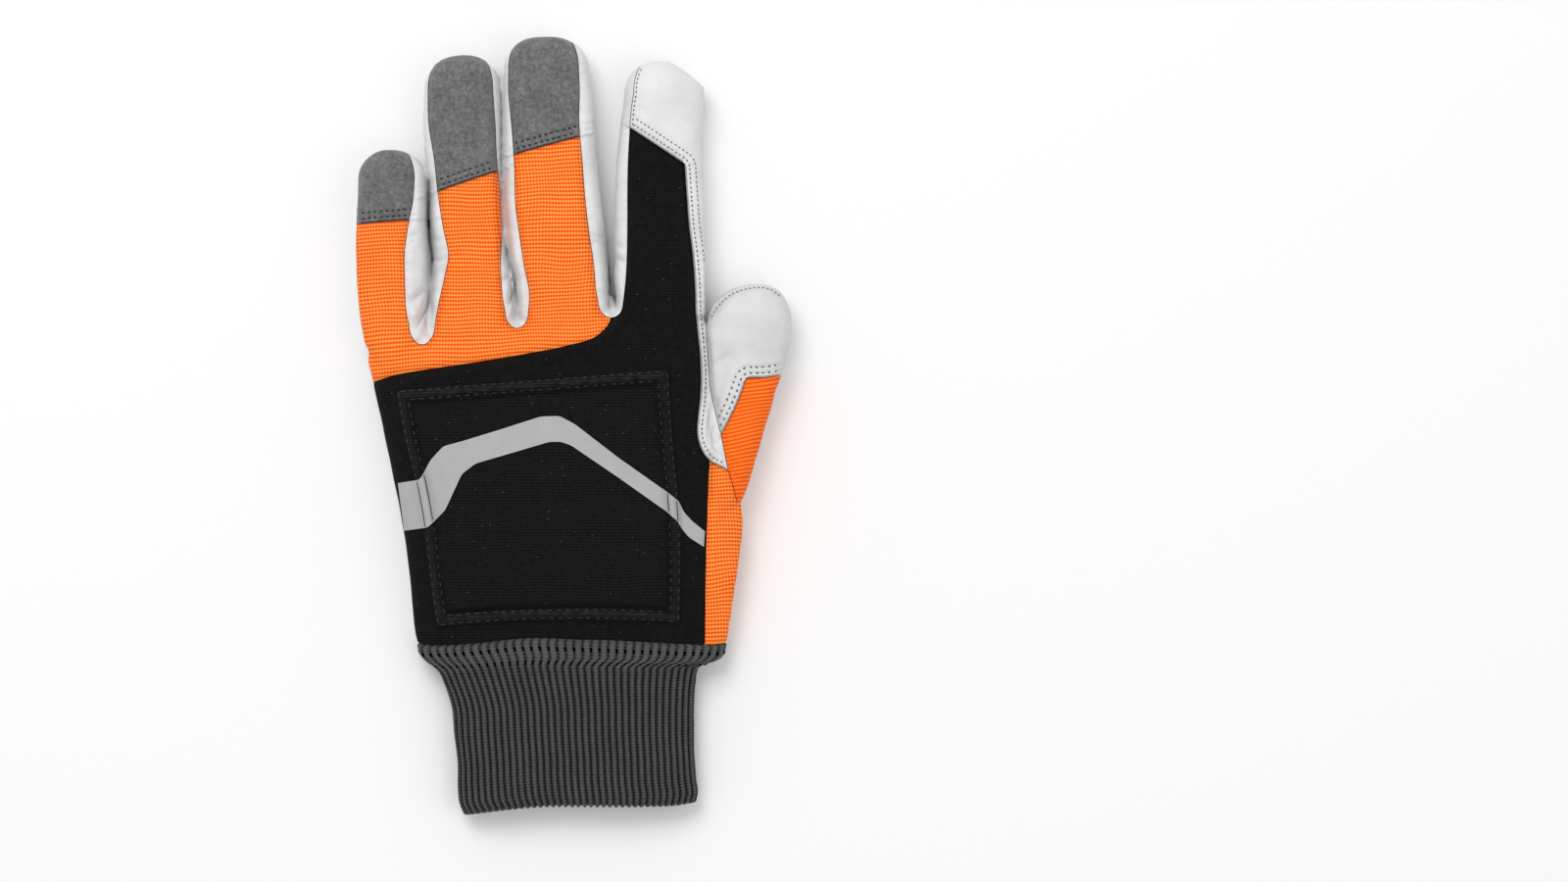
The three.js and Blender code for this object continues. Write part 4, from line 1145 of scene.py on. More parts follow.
def makeOrange(name, look):
    shared = ribbedLook
    material, nodes, links, shader, place = startMaterial(name, shared["surface"])
    turned = turnPlace(nodes, links, place, look["turn"])
    wandering = addWander(nodes, links, turned, *shared["wander"])
    ribs = addRidges(nodes, links, wandering, "Y", look["ribPitch"], shared["unrest"])
    crossThreads = addRidges(nodes, links, wandering, "X", look["threadPitch"], shared["unrest"])
    weave = addBlend(nodes, links, ribs, look["ribShare"], crossThreads, 1 - look["ribShare"])
    patches = addNoise(nodes, links, place, shared["patches"], 3)
    stops = [(0.22, look["groove"]), (0.48, look["body"]), (0.85, look["crest"])]
    tone = addRamp(nodes, links, weave, stops)
    shade = addRamp(nodes, links, patches, [(0.3, shared["worn"]), (0.65, (1, 1, 1))])
    links.new(addTint(nodes, links, 1.0, tone, shade), shader.inputs["Base Color"])
    addBumps(nodes, links, shader, [(ribs, 0.5, 0.25), (crossThreads, 0.5, 0.2), (patches, 0.2, 0.5)])
    return material


blackLook = {"pitch": 0.9, "low": 0.0006, "high": 0.0088, "fluff": 2.2}
padLook = {"pitch": 1.0, "low": 0.0008, "high": 0.0102, "fluff": 1.6}
lintLook = {"spacing": 3.3, "size": 0.07, "light": 0.045}
blackSurface = {"Roughness": 0.92, "Sheen Weight": 0.02, "Specular IOR Level": 0.12}


# Black cloth with a little lint. shadeName: an attribute of the mesh whose painted shade and highlight
# darken and lighten it
def makeBlack(name, look, shadeName=None):
    low, high = look["low"], look["high"]
    material, nodes, links, shader, place = startMaterial(name, blackSurface)
    wandering = addWander(nodes, links, place, 20, 0.8)
    rows = addRidges(nodes, links, wandering, "Y", look["pitch"], 0.6)
    columns = addRidges(nodes, links, wandering, "X", look["pitch"] * 0.8, 0.6)
    weave = addBlend(nodes, links, rows, 0.6, columns, 0.4)
    fluff = addNoise(nodes, links, place, look["fluff"], 6, 0.72)
    mixed = addBlend(nodes, links, weave, 0.4, fluff, 0.6)
    tone = addRamp(nodes, links, mixed, [(0.3, (low, low, low)), (0.72, (high, high, high * 1.03))])
    if shadeName:
        tone = addTint(nodes, links, 1.0, tone, addAttribute(nodes, shadeName))
    cells = addCells(nodes, links, place, lintLook["spacing"], "F1")
    specks = addMath(nodes, links, "LESS_THAN", cells, lintLook["size"])
    lint = addRamp(nodes, links, specks, [(0.4, (0, 0, 0)), (0.6, (lintLook["light"],) * 3)])
    links.new(addTint(nodes, links, 1.0, tone, lint, "ADD"), shader.inputs["Base Color"])
    addBumps(nodes, links, shader, [(weave, 0.6, 0.16), (fluff, 0.45, 0.25)])
    return material


reflectiveLook = {
    "dark": (0.355, 0.355, 0.355), "light": (0.39, 0.39, 0.39), "bead": 0.35, "cloud": 6,
    "roughness": (0.42, 0.6),
}


def makeReflective():
    look = reflectiveLook
    material, nodes, links, shader, place = startMaterial("reflectiveCloth", {})
    beads = addCells(nodes, links, place, look["bead"], "F1")
    cloud = addNoise(nodes, links, place, look["cloud"], 3)
    tone = addRamp(nodes, links, cloud, [(0.3, look["dark"]), (0.7, look["light"])])
    links.new(tone, shader.inputs["Base Color"])
    linkRoughness(nodes, links, shader, beads, *look["roughness"])
    addBumps(nodes, links, shader, [(beads, 0.3, 0.05), (cloud, 0.3, 0.25)])
    return material


# Knit colours: near black in the rib grooves and lighter on the crests, painted shade and light of the ribs
knitLook = {
    "groove": (0.0015, 0.0015, 0.0015), "side": (0.024, 0.024, 0.025), "crest": (0.095, 0.095, 0.097),
    "worn": (0.86, 0.86, 0.86), "loop": 0.95, "slant": 5.5, "fluff": 0.9, "cloud": 9,
    "surface": {"Roughness": 0.95, "Sheen Weight": 0.08, "Specular IOR Level": 0.2},
}


# The knit follows the cuff's own UV map: u counts ribs, v is the length along them in millimetres
def makeKnit():
    look = knitLook
    material, nodes, links, shader, place = startMaterial("greyRibKnit", look["surface"])
    along = nodes.new("ShaderNodeUVMap")
    along.uv_map = "knit"
    split = nodes.new("ShaderNodeSeparateXYZ")
    links.new(along.outputs["UV"], split.inputs["Vector"])
    rib = addMath(nodes, links, "FRACT", addMath(nodes, links, "ADD", split.outputs["X"], 0.5))
    aside = addMath(nodes, links, "ABSOLUTE", addMath(nodes, links, "SUBTRACT", rib, 0.5))
    slant = addBlend(nodes, links, split.outputs["Y"], 2 * math.pi / look["loop"], aside, look["slant"])
    loops = addMath(nodes, links, "MULTIPLY", addMath(nodes, links, "SINE", slant), 0.5)
    fluff = addNoise(nodes, links, place, look["fluff"], 6, 0.75)
    cloud = addNoise(nodes, links, place, look["cloud"], 2)
    # Painted shade in the rib grooves and painted light on the crests, from the cuff's rib attribute
    light = addBlend(nodes, links, fluff, 0.6, addAttribute(nodes, "ribPaintedShading"), 0.56)
    light = addBlend(nodes, links, loops, 0.2, light, 1.0)
    stops = [(0.44, look["groove"]), (0.6, look["side"]), (1.0, look["crest"])]
    tone = addRamp(nodes, links, light, stops)
    shade = addRamp(nodes, links, cloud, [(0.3, look["worn"]), (0.7, (1, 1, 1))])
    links.new(addTint(nodes, links, 1.0, tone, shade), shader.inputs["Base Color"])
    addBumps(nodes, links, shader, [(loops, 0.5, 0.2), (fluff, 0.6, 0.25)])
    return material


threadLook = {"twist": 0.35, "dark": 0.55, "surface": {"Roughness": 0.7}}
# The white thread of the leather's stitches is painted dark grey: painted shade in its stitch holes
threadColors = {
    "whiteThreadHoleShade": (0.11, 0.11, 0.108), "darkGreyThread": (0.014, 0.014, 0.014),
    "blackThread": (0.037, 0.037, 0.038), "cuffHoleShade": (0.0008, 0.0008, 0.0008),
    "suedeEdge": (0.03, 0.03, 0.031), "leatherEdge": (0.36, 0.36, 0.36),
}


def makeThread(name, color):
    look = threadLook
    material, nodes, links, shader, place = startMaterial(name, look["surface"])
    twist = addNoise(nodes, links, place, look["twist"], 3, 0.6)
    dark = tuple(c * look["dark"] for c in color)
    links.new(addRamp(nodes, links, twist, [(0.3, dark), (0.6, color)]), shader.inputs["Base Color"])
    addBumps(nodes, links, shader, [(twist, 0.5, 0.1)])
    return material


print("glove: materials")
leather = makeLeather()
suede = makeSuede()
orangeCloth = makeOrange("orangeRibbedCloth", orangeLook)
thumbCloth = makeOrange("orangeThumbCloth", thumbClothLook)
blackCloth = makeBlack("blackStretchCloth", blackLook)
padCloth = makeBlack("blackPadCloth", padLook, "padShade")
reflectiveCloth = makeReflective()
ribKnit = makeKnit()
threads = {name: makeThread(name, color) for name, color in threadColors.items()}

everywhere = np.array([(-1, -1), (1, -1), (1, 1), (-1, 1)]) * (workSizes["farX"], workSizes["farY"])
sides = cutAlong(skin, everywhere, "upper", handSizes["palmSeamZ"])
back = cutAlong(sides, backOutline(), "back", handSizes["backSeamZ"])
panels = [(skin, "palmLeather", "white_leather", leather, "palm_leather")]
for name in ("little", "ring", "middle"):
    tip = cutAlong(back, tipOutline(fingers[name]), "tip")
    panels.append((tip, name + "FingerTip", "grey_suede", suede, "tip_" + name))
knuckleCloth = cutAlong(back, areas["knuckles"], "knuckles")
panels.append((knuckleCloth, "knuckleCloth", "orange_cloth", orangeCloth, "knuckle_cloth"))
panels.append((back, "backCloth", "black_cloth", blackCloth, "back_cloth"))


def fingerCentre(finger):
    return finger["root"][0] + finger["tip"] * finger["width"]


for first, second in (("little", "ring"), ("ring", "middle"), ("middle", "index")):
    start, end = fingerCentre(fingers[first]), fingerCentre(fingers[second])
    low, high = handSizes["wallRootY"], workSizes["farY"]
    block = np.array([[start, low], [end, low], [end, high], [start, high]])
    if second == "index":
        tipSeam = fingerEdge(fingers["index"], 2)
        tipSeam = tipSeam[tipSeam[:, 1] > tipLine(fingers["index"])[1][1]]
        block = np.concatenate([block[:2], tipSeam, block[2:]])
    wall = cutAlong(sides, block, "wall")
    wallName = first + second.capitalize() + "SideWall"
    panels.append((wall, wallName, "white_leather", leather, f"fourchette_{first}_{second}"))
for area, name, slotName, material, node in (
    ("thumbLeather", "thumbLeather", "white_leather", leather, "thumb_leather"),
    ("thumbBack", "thumbBackCloth", "orange_cloth", thumbCloth, "thumb_back"),
    ("gusset", "sideGusset", "orange_cloth", orangeCloth, "side_gusset"),
    ("indexLeather", "indexLeather", "white_leather", leather, "index_leather"),
):
    panels.append((cutAlong(sides, areas[area], area), name, slotName, material, node))
panels.append((sides, "outerSideWall", "white_leather", leather, "outer_side_wall"))
named = {}
for obj, name, slotName, material, node in panels:
    cleanPanel(obj)
    # Leather gets painted shade in its creases; the thumb's leather is also painted a little darker all
    # over, as shade
    if material is leather:
        shadeCreases(obj, creaseShadeLook["thumbPaintedShade"] if name == "thumbLeather" else 1.0)
    named[name] = dressPiece(obj, name, slotName, material, node)
    print("  ", name, len(obj.data.polygons))


def resample(line, count):
    run = np.concatenate([[0], np.cumsum(np.linalg.norm(np.diff(line, axis=0), axis=1))])
    at = np.linspace(0, run[-1], count)
    return np.stack([np.interp(at, run, line[:, 0]), np.interp(at, run, line[:, 1])], 1)


# Height of the sculpted skin at every point of a grid, a little smoothed
def skinHeight(x, y):
    heights = backHeight(x, y)
    for i, (px, py) in enumerate(zip(x.ravel().tolist(), y.ravel().tolist())):
        hit, _ = lookDown(skinTree, px, py)
        if hit:
            heights.flat[i] = hit.z
    for _ in range(2):
        heights[1:-1] = (heights[2:] + heights[:-2]) / 4 + heights[1:-1] / 2
        heights[:, 1:-1] = (heights[:, 2:] + heights[:, :-2]) / 4 + heights[:, 1:-1] / 2
    return heights


# A blanket between a top and an underside over one grid of points
def makeBlanket(name, grid, top, under):
    rows, count = grid.shape[:2]
    upper = np.concatenate([grid.reshape(-1, 2), top.reshape(-1, 1)], 1)
    lower = np.concatenate([grid.reshape(-1, 2), under.reshape(-1, 1)], 1)
    total = rows * count
    faces = []
    for i in range(rows - 1):
        for k in range(count - 1):
            a = i * count + k
            faces.append((a, a + 1, a + count + 1, a + count))
            faces.append((total + a, total + a + count, total + a + count + 1, total + a + 1))
    rim = list(range(count)) + [i * count + count - 1 for i in range(1, rows)]
    rim += [(rows - 1) * count + k for k in range(count - 2, -1, -1)]
    rim += [i * count for i in range(rows - 2, 0, -1)]
    for a, b in zip(rim, rim[1:] + rim[:1]):
        faces.append((a, total + a, total + b, b))
    return makeMesh(name, np.concatenate([upper, lower]), faces)


print("glove: pad and band")
shares = np.linspace(0, 1, pad["steps"])
padGrid = padPlace(shares[None, :], shares[:, None])
padWide, padLong = [np.linalg.norm(padGrid[-1, -1] - padGrid[k]) for k in ((-1, 0), (0, -1))]


# A stitch line round the pad, at a distance inside its edge
def padStitchLines(inset):
    across, along = inset / padWide, inset / padLong
    acrossRun, alongRun = np.linspace(across, 1 - across, 60), np.linspace(along, 1 - along, 60)
    return [
        padPlace(acrossRun, along), padPlace(acrossRun, 1 - along),
        padPlace(across, alongRun), padPlace(1 - across, alongRun),
    ]


padStitches = padStitchLines(pad["outerStitchIn"]) + padStitchLines(pad["innerStitchIn"])
padX, padY = padGrid[..., 0], padGrid[..., 1]
padFlat = np.stack([padX.ravel(), padY.ravel(), np.zeros(padX.size)], 1)
padDepth = depthIn(padOutline, padX, padY)
padSwell = pad["swell"] * waves(padFlat, pad["swellPitch"], 21).reshape(padX.shape)
padSwell *= np.clip((padDepth - 4) / 8, 0, 1)
padRipple = waves(padFlat * np.array([1, 0.5, 1]), pad["ripplePitch"], 22)
padSwell += pad["ripple"] * padRipple.reshape(padX.shape)
stitchDistance, _, stitchRun, _, _ = nearLines(padStitches, padGrid.reshape(-1, 2))
dimple = pad["dimple"] + pad["dimpleWave"] * np.cos(2 * math.pi * stitchRun / pad["dimplePitch"])
padSwell -= (dimple * bell(stitchDistance, pad["dimpleWidth"])).reshape(padX.shape)
padUnder = skinHeight(padX, padY) + pad["restGap"]
padTop = padUnder + padLift(padX, padY) + padSwell
padTop = np.maximum(padTop, padUnder + pad["thinnest"])
sawPad = makeBlanket("sawPad", padGrid, padTop, padUnder)

# Painted light and shade of the pad: a painted highlight on the fuzzy ridge between the stitch rows,
# painted shade in the grooves beside it, above all at the two ends, and painted shade along its edge
padPaintedLight = {
    "ridge": 2.4, "ridgeAt": 2.4, "ridgeWidth": 1.0, "groove": 0.8, "grooveAt": 5.0, "grooveWidth": 0.9,
    "rim": 0.5, "rimWidth": 0.5, "atSides": 0.3, "patches": 3.5, "darkest": 0.1,
}
rowShare, columnShare = np.meshgrid(shares, shares, indexing="ij")
endDistance = np.minimum(rowShare, 1 - rowShare) * padLong
sideDistance = np.minimum(columnShare, 1 - columnShare) * padWide
atEnds = padPaintedLight["atSides"] + (1 - padPaintedLight["atSides"]) * ramp(sideDistance - endDistance, -1.0, 1.0)
patchy = 0.7 + 0.5 * waves(padFlat, padPaintedLight["patches"], 23).reshape(padX.shape)
ridge = padPaintedLight["ridge"] * patchy * bell(padDepth - padPaintedLight["ridgeAt"], padPaintedLight["ridgeWidth"])
groove = padPaintedLight["groove"] * bell(padDepth - padPaintedLight["grooveAt"], padPaintedLight["grooveWidth"])
shade = 1 + atEnds * (ridge - groove) - padPaintedLight["rim"] * bell(padDepth, padPaintedLight["rimWidth"])
shade = np.maximum(shade, padPaintedLight["darkest"])
shadeLayer = sawPad.data.attributes.new("padShade", "FLOAT", "POINT")
shadeLayer.data.foreach_set("value", np.concatenate([shade.ravel(), np.ones(shade.size)]))
dressPiece(sawPad, "sawPad", "pad_cloth", padCloth, "saw_pad")

band = {
    "thickness": 0.4, "lift": 0.1, "soften": 1.8, "steps": 300, "across": 18,
    "ripple": 0.08, "ripplePitch": 9, "sunk": 0.25, "sunkWidth": 0.5,
    # lower x and y, upper x and y: shares of palm width and length
    "rows": [
        (-0.377, 0.353, -0.394, 0.503), (-0.304, 0.364, -0.327, 0.514), (-0.253, 0.418, -0.295, 0.576),
        (-0.204, 0.532, -0.258, 0.619), (-0.164, 0.565, -0.196, 0.637), (-0.053, 0.6, -0.085, 0.674),
        (0.05, 0.633, 0.024, 0.712), (0.083, 0.633, 0.078, 0.714), (0.112, 0.622, 0.122, 0.689),
        (0.249, 0.521, 0.249, 0.583), (0.387, 0.415, 0.39, 0.475), (0.421, 0.382, 0.423, 0.447),
        (0.43, 0.362, 0.436, 0.414), (0.452, 0.333, 0.461, 0.384), (0.495, 0.303, 0.498, 0.352),
    ],
}
lowerEdge, upperEdge = [
    resample(softLine(onHand([row[k:k + 2] for row in band["rows"]]), soften=band["soften"]), band["steps"])
    for k in (0, 2)
]
acrossBand = np.linspace(0, 1, band["across"])
bandGrid = lowerEdge[None] + (upperEdge - lowerEdge)[None] * acrossBand[:, None, None]
bandX, bandY = bandGrid[..., 0], bandGrid[..., 1]
onPad = depthIn(padOutline, bandX, bandY)
lift = np.where(onPad > 0, pad["restGap"] + padLift(bandX, bandY), 0)
for _ in range(5):
    lift[:, 1:-1] = np.maximum(lift[:, 1:-1], (lift[:, 2:] + lift[:, :-2]) / 4 + lift[:, 1:-1] / 2)
crossing, _, _, _, _ = nearLines(padStitches, bandGrid.reshape(-1, 2))
sunk = band["sunk"] * bell(crossing, band["sunkWidth"]).reshape(bandX.shape)
bandFlat = np.stack([bandX.ravel(), bandY.ravel(), np.zeros(bandX.size)], 1)
ripple = band["ripple"] * (1 + waves(bandFlat, band["ripplePitch"], 31).reshape(bandX.shape))
bandTop = skinHeight(bandX, bandY) + lift + band["lift"] + band["thickness"] + ripple - sunk
reflectiveBand = makeBlanket("reflectiveBand", bandGrid, bandTop, bandTop - band["thickness"])
dressPiece(reflectiveBand, "reflectiveBand", "reflective_cloth", reflectiveCloth, "reflective_band")

print("glove: cuff")
cuff = {
    "length": 51.0, "width": 105.5, "height": 16.5, "wall": 3.0, "centreX": -0.7, "below": 0.2,
    "ribs": 76, "perRib": 10, "ribDepth": 1.1, "ribPower": 0.42, "highest": 0.3, "scallop": 1.4,
    "gather": 0.6, "gatherAt": 0.1, "gatherWidth": 0.09, "sway": 0.16,
    "tuck": 0.5, "tuckAt": 0.19, "tuckWidth": 0.035,
    "stitchRows": (0.055, 0.13), "stitchFrom": 7.0, "stitchLift": 0.1,
    # at, left, right, high: shares of the cuff's length, width (twice) and height
    "sections": [
        (0, -0.5, 0.5, 0.96), (0.034, -0.4985, 0.494, 0.98), (0.078, -0.484, 0.486, 0.98),
        (0.113, -0.465, 0.464, 0.96), (0.137, -0.446, 0.424, 0.94), (0.195, -0.428, 0.407, 0.91),
        (0.265, -0.411, 0.3995, 0.88),
        (0.38, -0.39, 0.394, 0.86), (0.55, -0.381, 0.3924, 0.86), (0.72, -0.3725, 0.396, 0.87),
        (0.87, -0.3688, 0.3997, 0.88), (0.96, -0.362, 0.4045, 0.87), (1, -0.352, 0.4, 0.8),
    ],
}
# How much lower than its length the hem of the cuff lies, by x
cuffHem = [
    (-60, 7.6), (-37, 6.6), (-27, 5.3), (-19, 4.4), (-11, 3.8), (4, 3.8), (25, 3.7), (34, 3.4), (42, 2.3),
    (60, 1.6),
]


# One ring of the cuff. share: how far down it lies, inset and drop: millimetres, plain: without ribs
def cuffRing(share, inset, drop=0.0, plain=False):
    left, right, high = [smoothRead(cuff["sections"], column, share) for column in (1, 2, 3)]
    left, right = cuff["centreX"] + left * cuff["width"], cuff["centreX"] + right * cuff["width"]
    x, z, _ = sectionRing(left, right, high * cuff["height"], 1, (inset, inset, inset), 720)
    ring = np.stack([x, z], 1)
    ring = resample(np.concatenate([ring, ring[:1]]), cuff["ribs"] * cuff["perRib"] + 1)[:-1]
    run = np.arange(len(ring)) / cuff["perRib"]
    y = np.full(len(ring), handSizes["wristY"] - cuff["below"] - share * cuff["length"] - drop)
    rib = (0.5 + 0.5 * np.cos(2 * math.pi * run)) ** cuff["ribPower"]
    if not plain:
        tangent = np.roll(ring, -1, 0) - np.roll(ring, 1, 0)
        tangent /= np.linalg.norm(tangent, axis=1)[:, None]
        outward = np.stack([tangent[:, 1], -tangent[:, 0]], 1)
        stretched = ramp(share, 0.03, 0.2)
        push = cuff["ribDepth"] * (0.4 + 0.6 * stretched) * (rib - 1)
        gather = bell(share - cuff["gatherAt"], cuff["gatherWidth"]) * ramp(share, 0.01, 0.07)
        push += cuff["gather"] * gather * np.sin(run * 1.45 + 1.2 * np.sin(run * 0.31))
        push += cuff["sway"] * np.sin(share * 15 + 0.35 * run)
        push -= cuff["tuck"] * bell(share - cuff["tuckAt"], cuff["tuckWidth"])
        ring = ring + outward * np.minimum(push, cuff["highest"])[:, None]
        y = y - cuff["scallop"] * (np.abs(np.cos(math.pi * run)) - 0.6) * ramp(share, 0.95, 1)
    y = y - smoothRead(cuffHem, 1, ring[:, 0]) * np.clip(share, 0, 1)
    y = y + smoothRead(wristEdge, 1, ring[:, 0]) * ramp(ring[:, 1], 7, 12) * (1 - ramp(share, 0, 0.25))
    return np.stack([ring[:, 0], y, np.maximum(ring[:, 1], 0)], 1), rib


# Rings from the seam to the hem, round it and back inside: share, inset, drop, plain
steps = [(-0.03, 1.2, 0.0, True), (-0.008, 1.0, 0.0, True)]
steps += [(0.0, 0.7, 0.0, False), (0.004, 0.3, 0.0, False)]
steps += [(share, 0.0, 0.0, False) for share in np.linspace(0.01, 1, 84)]
steps += [(1, 0.5, 0.4, False), (1, 1.3, 0.5, False), (1, 2.0, 0.0, True), (1, 2.6, -0.2, True)]
steps += [(share, cuff["wall"], 0, True) for share in np.linspace(1, 0.08, 16)]
steps += [(0.03, 2.7, 0, True), (-0.03, 2.5, 0, True)]
built = [cuffRing(*step) for step in steps]
ringSize = len(built[0][0])
cuffFaces = bridgeFaces(len(built), ringSize, True)
last = (len(built) - 1) * ringSize
cuffFaces += [(last + k, k, (k + 1) % ringSize, last + (k + 1) % ringSize) for k in range(ringSize)]
knitCuff = makeMesh("knitCuff", np.concatenate([ring for ring, _ in built]), cuffFaces)
facesOutwards(knitCuff)
# Painted shade and light of the ribs: 0 in a groove, 1 on a crest, and lighter near the top, where the
# stretched ribs are flatter
ribPaintedShading = knitCuff.data.attributes.new("ribPaintedShading", "FLOAT", "POINT")
stretchLight = [0.22 * (1 - ramp(share, 0.1, 0.2)) for share, _, _, _ in steps]
heights = np.concatenate([np.maximum(rib, light) + light for (_, rib), light in zip(built, stretchLight)])
ribPaintedShading.data.foreach_set("value", np.clip(heights, 0, 1.25))
knitMap = knitCuff.data.uv_layers.new(name="knit")
lengths = [abs(a[0] - b[0]) * cuff["length"] + abs(a[1] - b[1]) for a, b in zip(steps, steps[1:])]
lengths = np.cumsum([0] + lengths)
for polygon in knitCuff.data.polygons:
    ribs = [knitCuff.data.loops[i].vertex_index % ringSize for i in polygon.loop_indices]
    wraps = max(ribs) - min(ribs) > ringSize / 2
    for i, rib in zip(polygon.loop_indices, ribs):
        u = (rib + (ringSize if wraps and rib < ringSize / 2 else 0)) / cuff["perRib"]
        knitMap.data[i].uv = (u, lengths[knitCuff.data.loops[i].vertex_index // ringSize])
dressPiece(knitCuff, "knitCuff", "cuff_knit", ribKnit, "knit_cuff")

print("glove: stitches")
# How densely lines are followed on a surface, and where it is too low or too steep for them
sewing = {"step": 0.25, "soften": 0.8, "lowest": 5.0, "steepest": 2.5}
laying = {"step": 0.6, "lowest": 5.0, "steepest": 1.6}

# One short capsule of thread along +X
def stitchShape(length, radius):
    points, rings, around = [], 5, 6
    for i in range(rings):
        t = -1 + 2 * i / (rings - 1)
        r = radius * (0.35 if abs(t) == 1 else 1)
        for k in range(around):
            angle = 2 * math.pi * k / around
            sunk = radius * 0.9 * t ** 4
            points.append((t * length / 2, r * math.cos(angle), r * math.sin(angle) - sunk))
    faces = bridgeFaces(rings, around, True)
    faces.append(tuple(range(around)))
    faces.append(tuple(reversed(range((rings - 1) * around, rings * around))))
    return np.array(points), faces


# Places copies of a stitch. places: (position, direction, up)
def makeStitches(name, places, slotName, material, length, radius):
    shape, shapeFaces = stitchShape(length, radius)
    points, faces = [], []
    for base, along, up in places:
        up = (up - along * up.dot(along)).normalized()
        side = up.cross(along)
        start = len(points)
        points += [tuple(base + along * float(p[0]) + side * float(p[1]) + up * float(p[2])) for p in shape]
        faces += [tuple(start + v for v in face) for face in shapeFaces]
    row = makeMesh(name, points, faces)
    facesOutwards(row)
    return dressPiece(row, name, slotName, material)


# Sews stitches along lines on a surface, where it is high and level enough
def sewRow(name, lines, tree, slotName, material, pitch, length, radius, lift=0.05):
    step = sewing["step"]
    places = []
    for line in lines:
        dense = softLine(line, step, sewing["soften"])
        for at in np.arange(pitch / 2, len(dense) * step - pitch / 3, pitch):
            i = int(at / step)
            spots = dense[i], dense[min(len(dense) - 1, i + 4)], dense[max(0, i - 4)]
            hits = [lookDown(tree, p[0], p[1]) for p in spots]
            if any(hit[0] is None for hit in hits) or hits[0][0].z < sewing["lowest"]:
                continue
            if abs(hits[1][0].z - hits[2][0].z) > sewing["steepest"]:
                continue
            along = (hits[1][0] - hits[2][0]).normalized()
            places.append((hits[0][0] + hits[0][1] * lift, along, hits[0][1]))
    return makeStitches(name, places, slotName, material, length, radius)


# Thin cords through paths of points
def makeCords(name, paths, slotName, material, radius):
    points, faces, around = [], [], 6
    for path in paths:
        path = np.asarray(path)
        start = len(points)
        tangent = np.gradient(path, axis=0)
        tangent /= np.linalg.norm(tangent, axis=1)[:, None]
        side = np.cross(tangent, np.array([0, 0, 1.0]))
        side /= np.linalg.norm(side, axis=1)[:, None]
        up = np.cross(side, tangent)
        for k, centre in enumerate(path):
            r = radius * (0.3 if k in (0, len(path) - 1) else 1)
            for n in range(around):
                angle = 2 * math.pi * n / around
                points.append(tuple(centre + r * (math.cos(angle) * side[k] + math.sin(angle) * up[k])))
        faces += [tuple(start + v for v in face) for face in bridgeFaces(len(path), around, True)]
        faces.append(tuple(start + n for n in range(around)))
        faces.append(tuple(start + (len(path) - 1) * around + n for n in reversed(range(around))))
    cords = makeMesh(name, points, faces)
    facesOutwards(cords)
    return dressPiece(cords, name, slotName, material)


# Lays lines on a surface from above. Each is broken where the surface ends or drops
def layPaths(lines, tree, lift, soften=0.8):
    paths = []
    for line in lines:
        path = []
        for x, y in softLine(line, laying["step"], soften).tolist():
            spot, normal = lookDown(tree, x, y)
            on = spot is not None and spot.z > laying["lowest"]
            on = on and (not path or abs(spot.z - path[-1][2]) < laying["steepest"])
            if on:
                path.append(tuple(spot + normal * lift))
            elif path:
                paths.append(path)
                path = []
        paths.append(path)
    return [path for path in paths if len(path) > 3]


# A line moved to its left
def shiftLine(line, by):
    line = softLine(line, 0.5, 1.5)
    tangent = np.gradient(line, axis=0)
    tangent /= np.linalg.norm(tangent, axis=1)[:, None]
    return line + np.stack([-tangent[:, 1], tangent[:, 0]], 1) * by


# Thread size and spacing of the sewn rows, in millimetres
stitchLook = {
    "pad": {"pitch": 3.1, "length": 2.1, "radius": 0.2, "lift": -0.03},
    "fingerHem": {"pitch": 2.05, "length": 1.2, "radius": 0.33},
    "index": {"pitch": 1.55, "length": 1.0, "radius": 0.24},
    "thumb": {"pitch": 2.1, "length": 1.05, "radius": 0.3},
    "thumbTop": {"pitch": 1.5, "length": 0.95, "radius": 0.22},
    "cuff": {"length": 2.0, "radius": 0.5},
}
# How far beside its line a cord lies, how far above the surface, and how thick it is
cordLook = {
    "band": {"lift": 0.03, "radius": 0.2}, "suedeHem": {"aside": 0.25, "lift": -0.12, "radius": 0.36},
    "leatherHem": {"aside": 0.35, "lift": -0.1, "radius": 0.34},
}
padTree, bandTree = surfaceTree(sawPad), surfaceTree(reflectiveBand)
bandOutline = np.concatenate([lowerEdge, upperEdge[::-1]])
openRuns = []
for line in padStitches:
    dense = softLine(line, soften=0.4)
    covered = insideOutline(bandOutline, dense) > 0
    cuts = np.flatnonzero(np.diff(covered)) + 1
    for part in np.split(dense, cuts):
        if len(part) > 6 and not insideOutline(bandOutline, part[2:3])[0]:
            openRuns.append(part)
sewRow("padStitches", openRuns, padTree, "pad_cloth", threads["blackThread"], **stitchLook["pad"])
look = cordLook["band"]
bandPaths = layPaths(padStitches, bandTree, look["lift"])
makeCords("bandStitches", bandPaths, "pad_cloth", threads["darkGreyThread"], look["radius"])

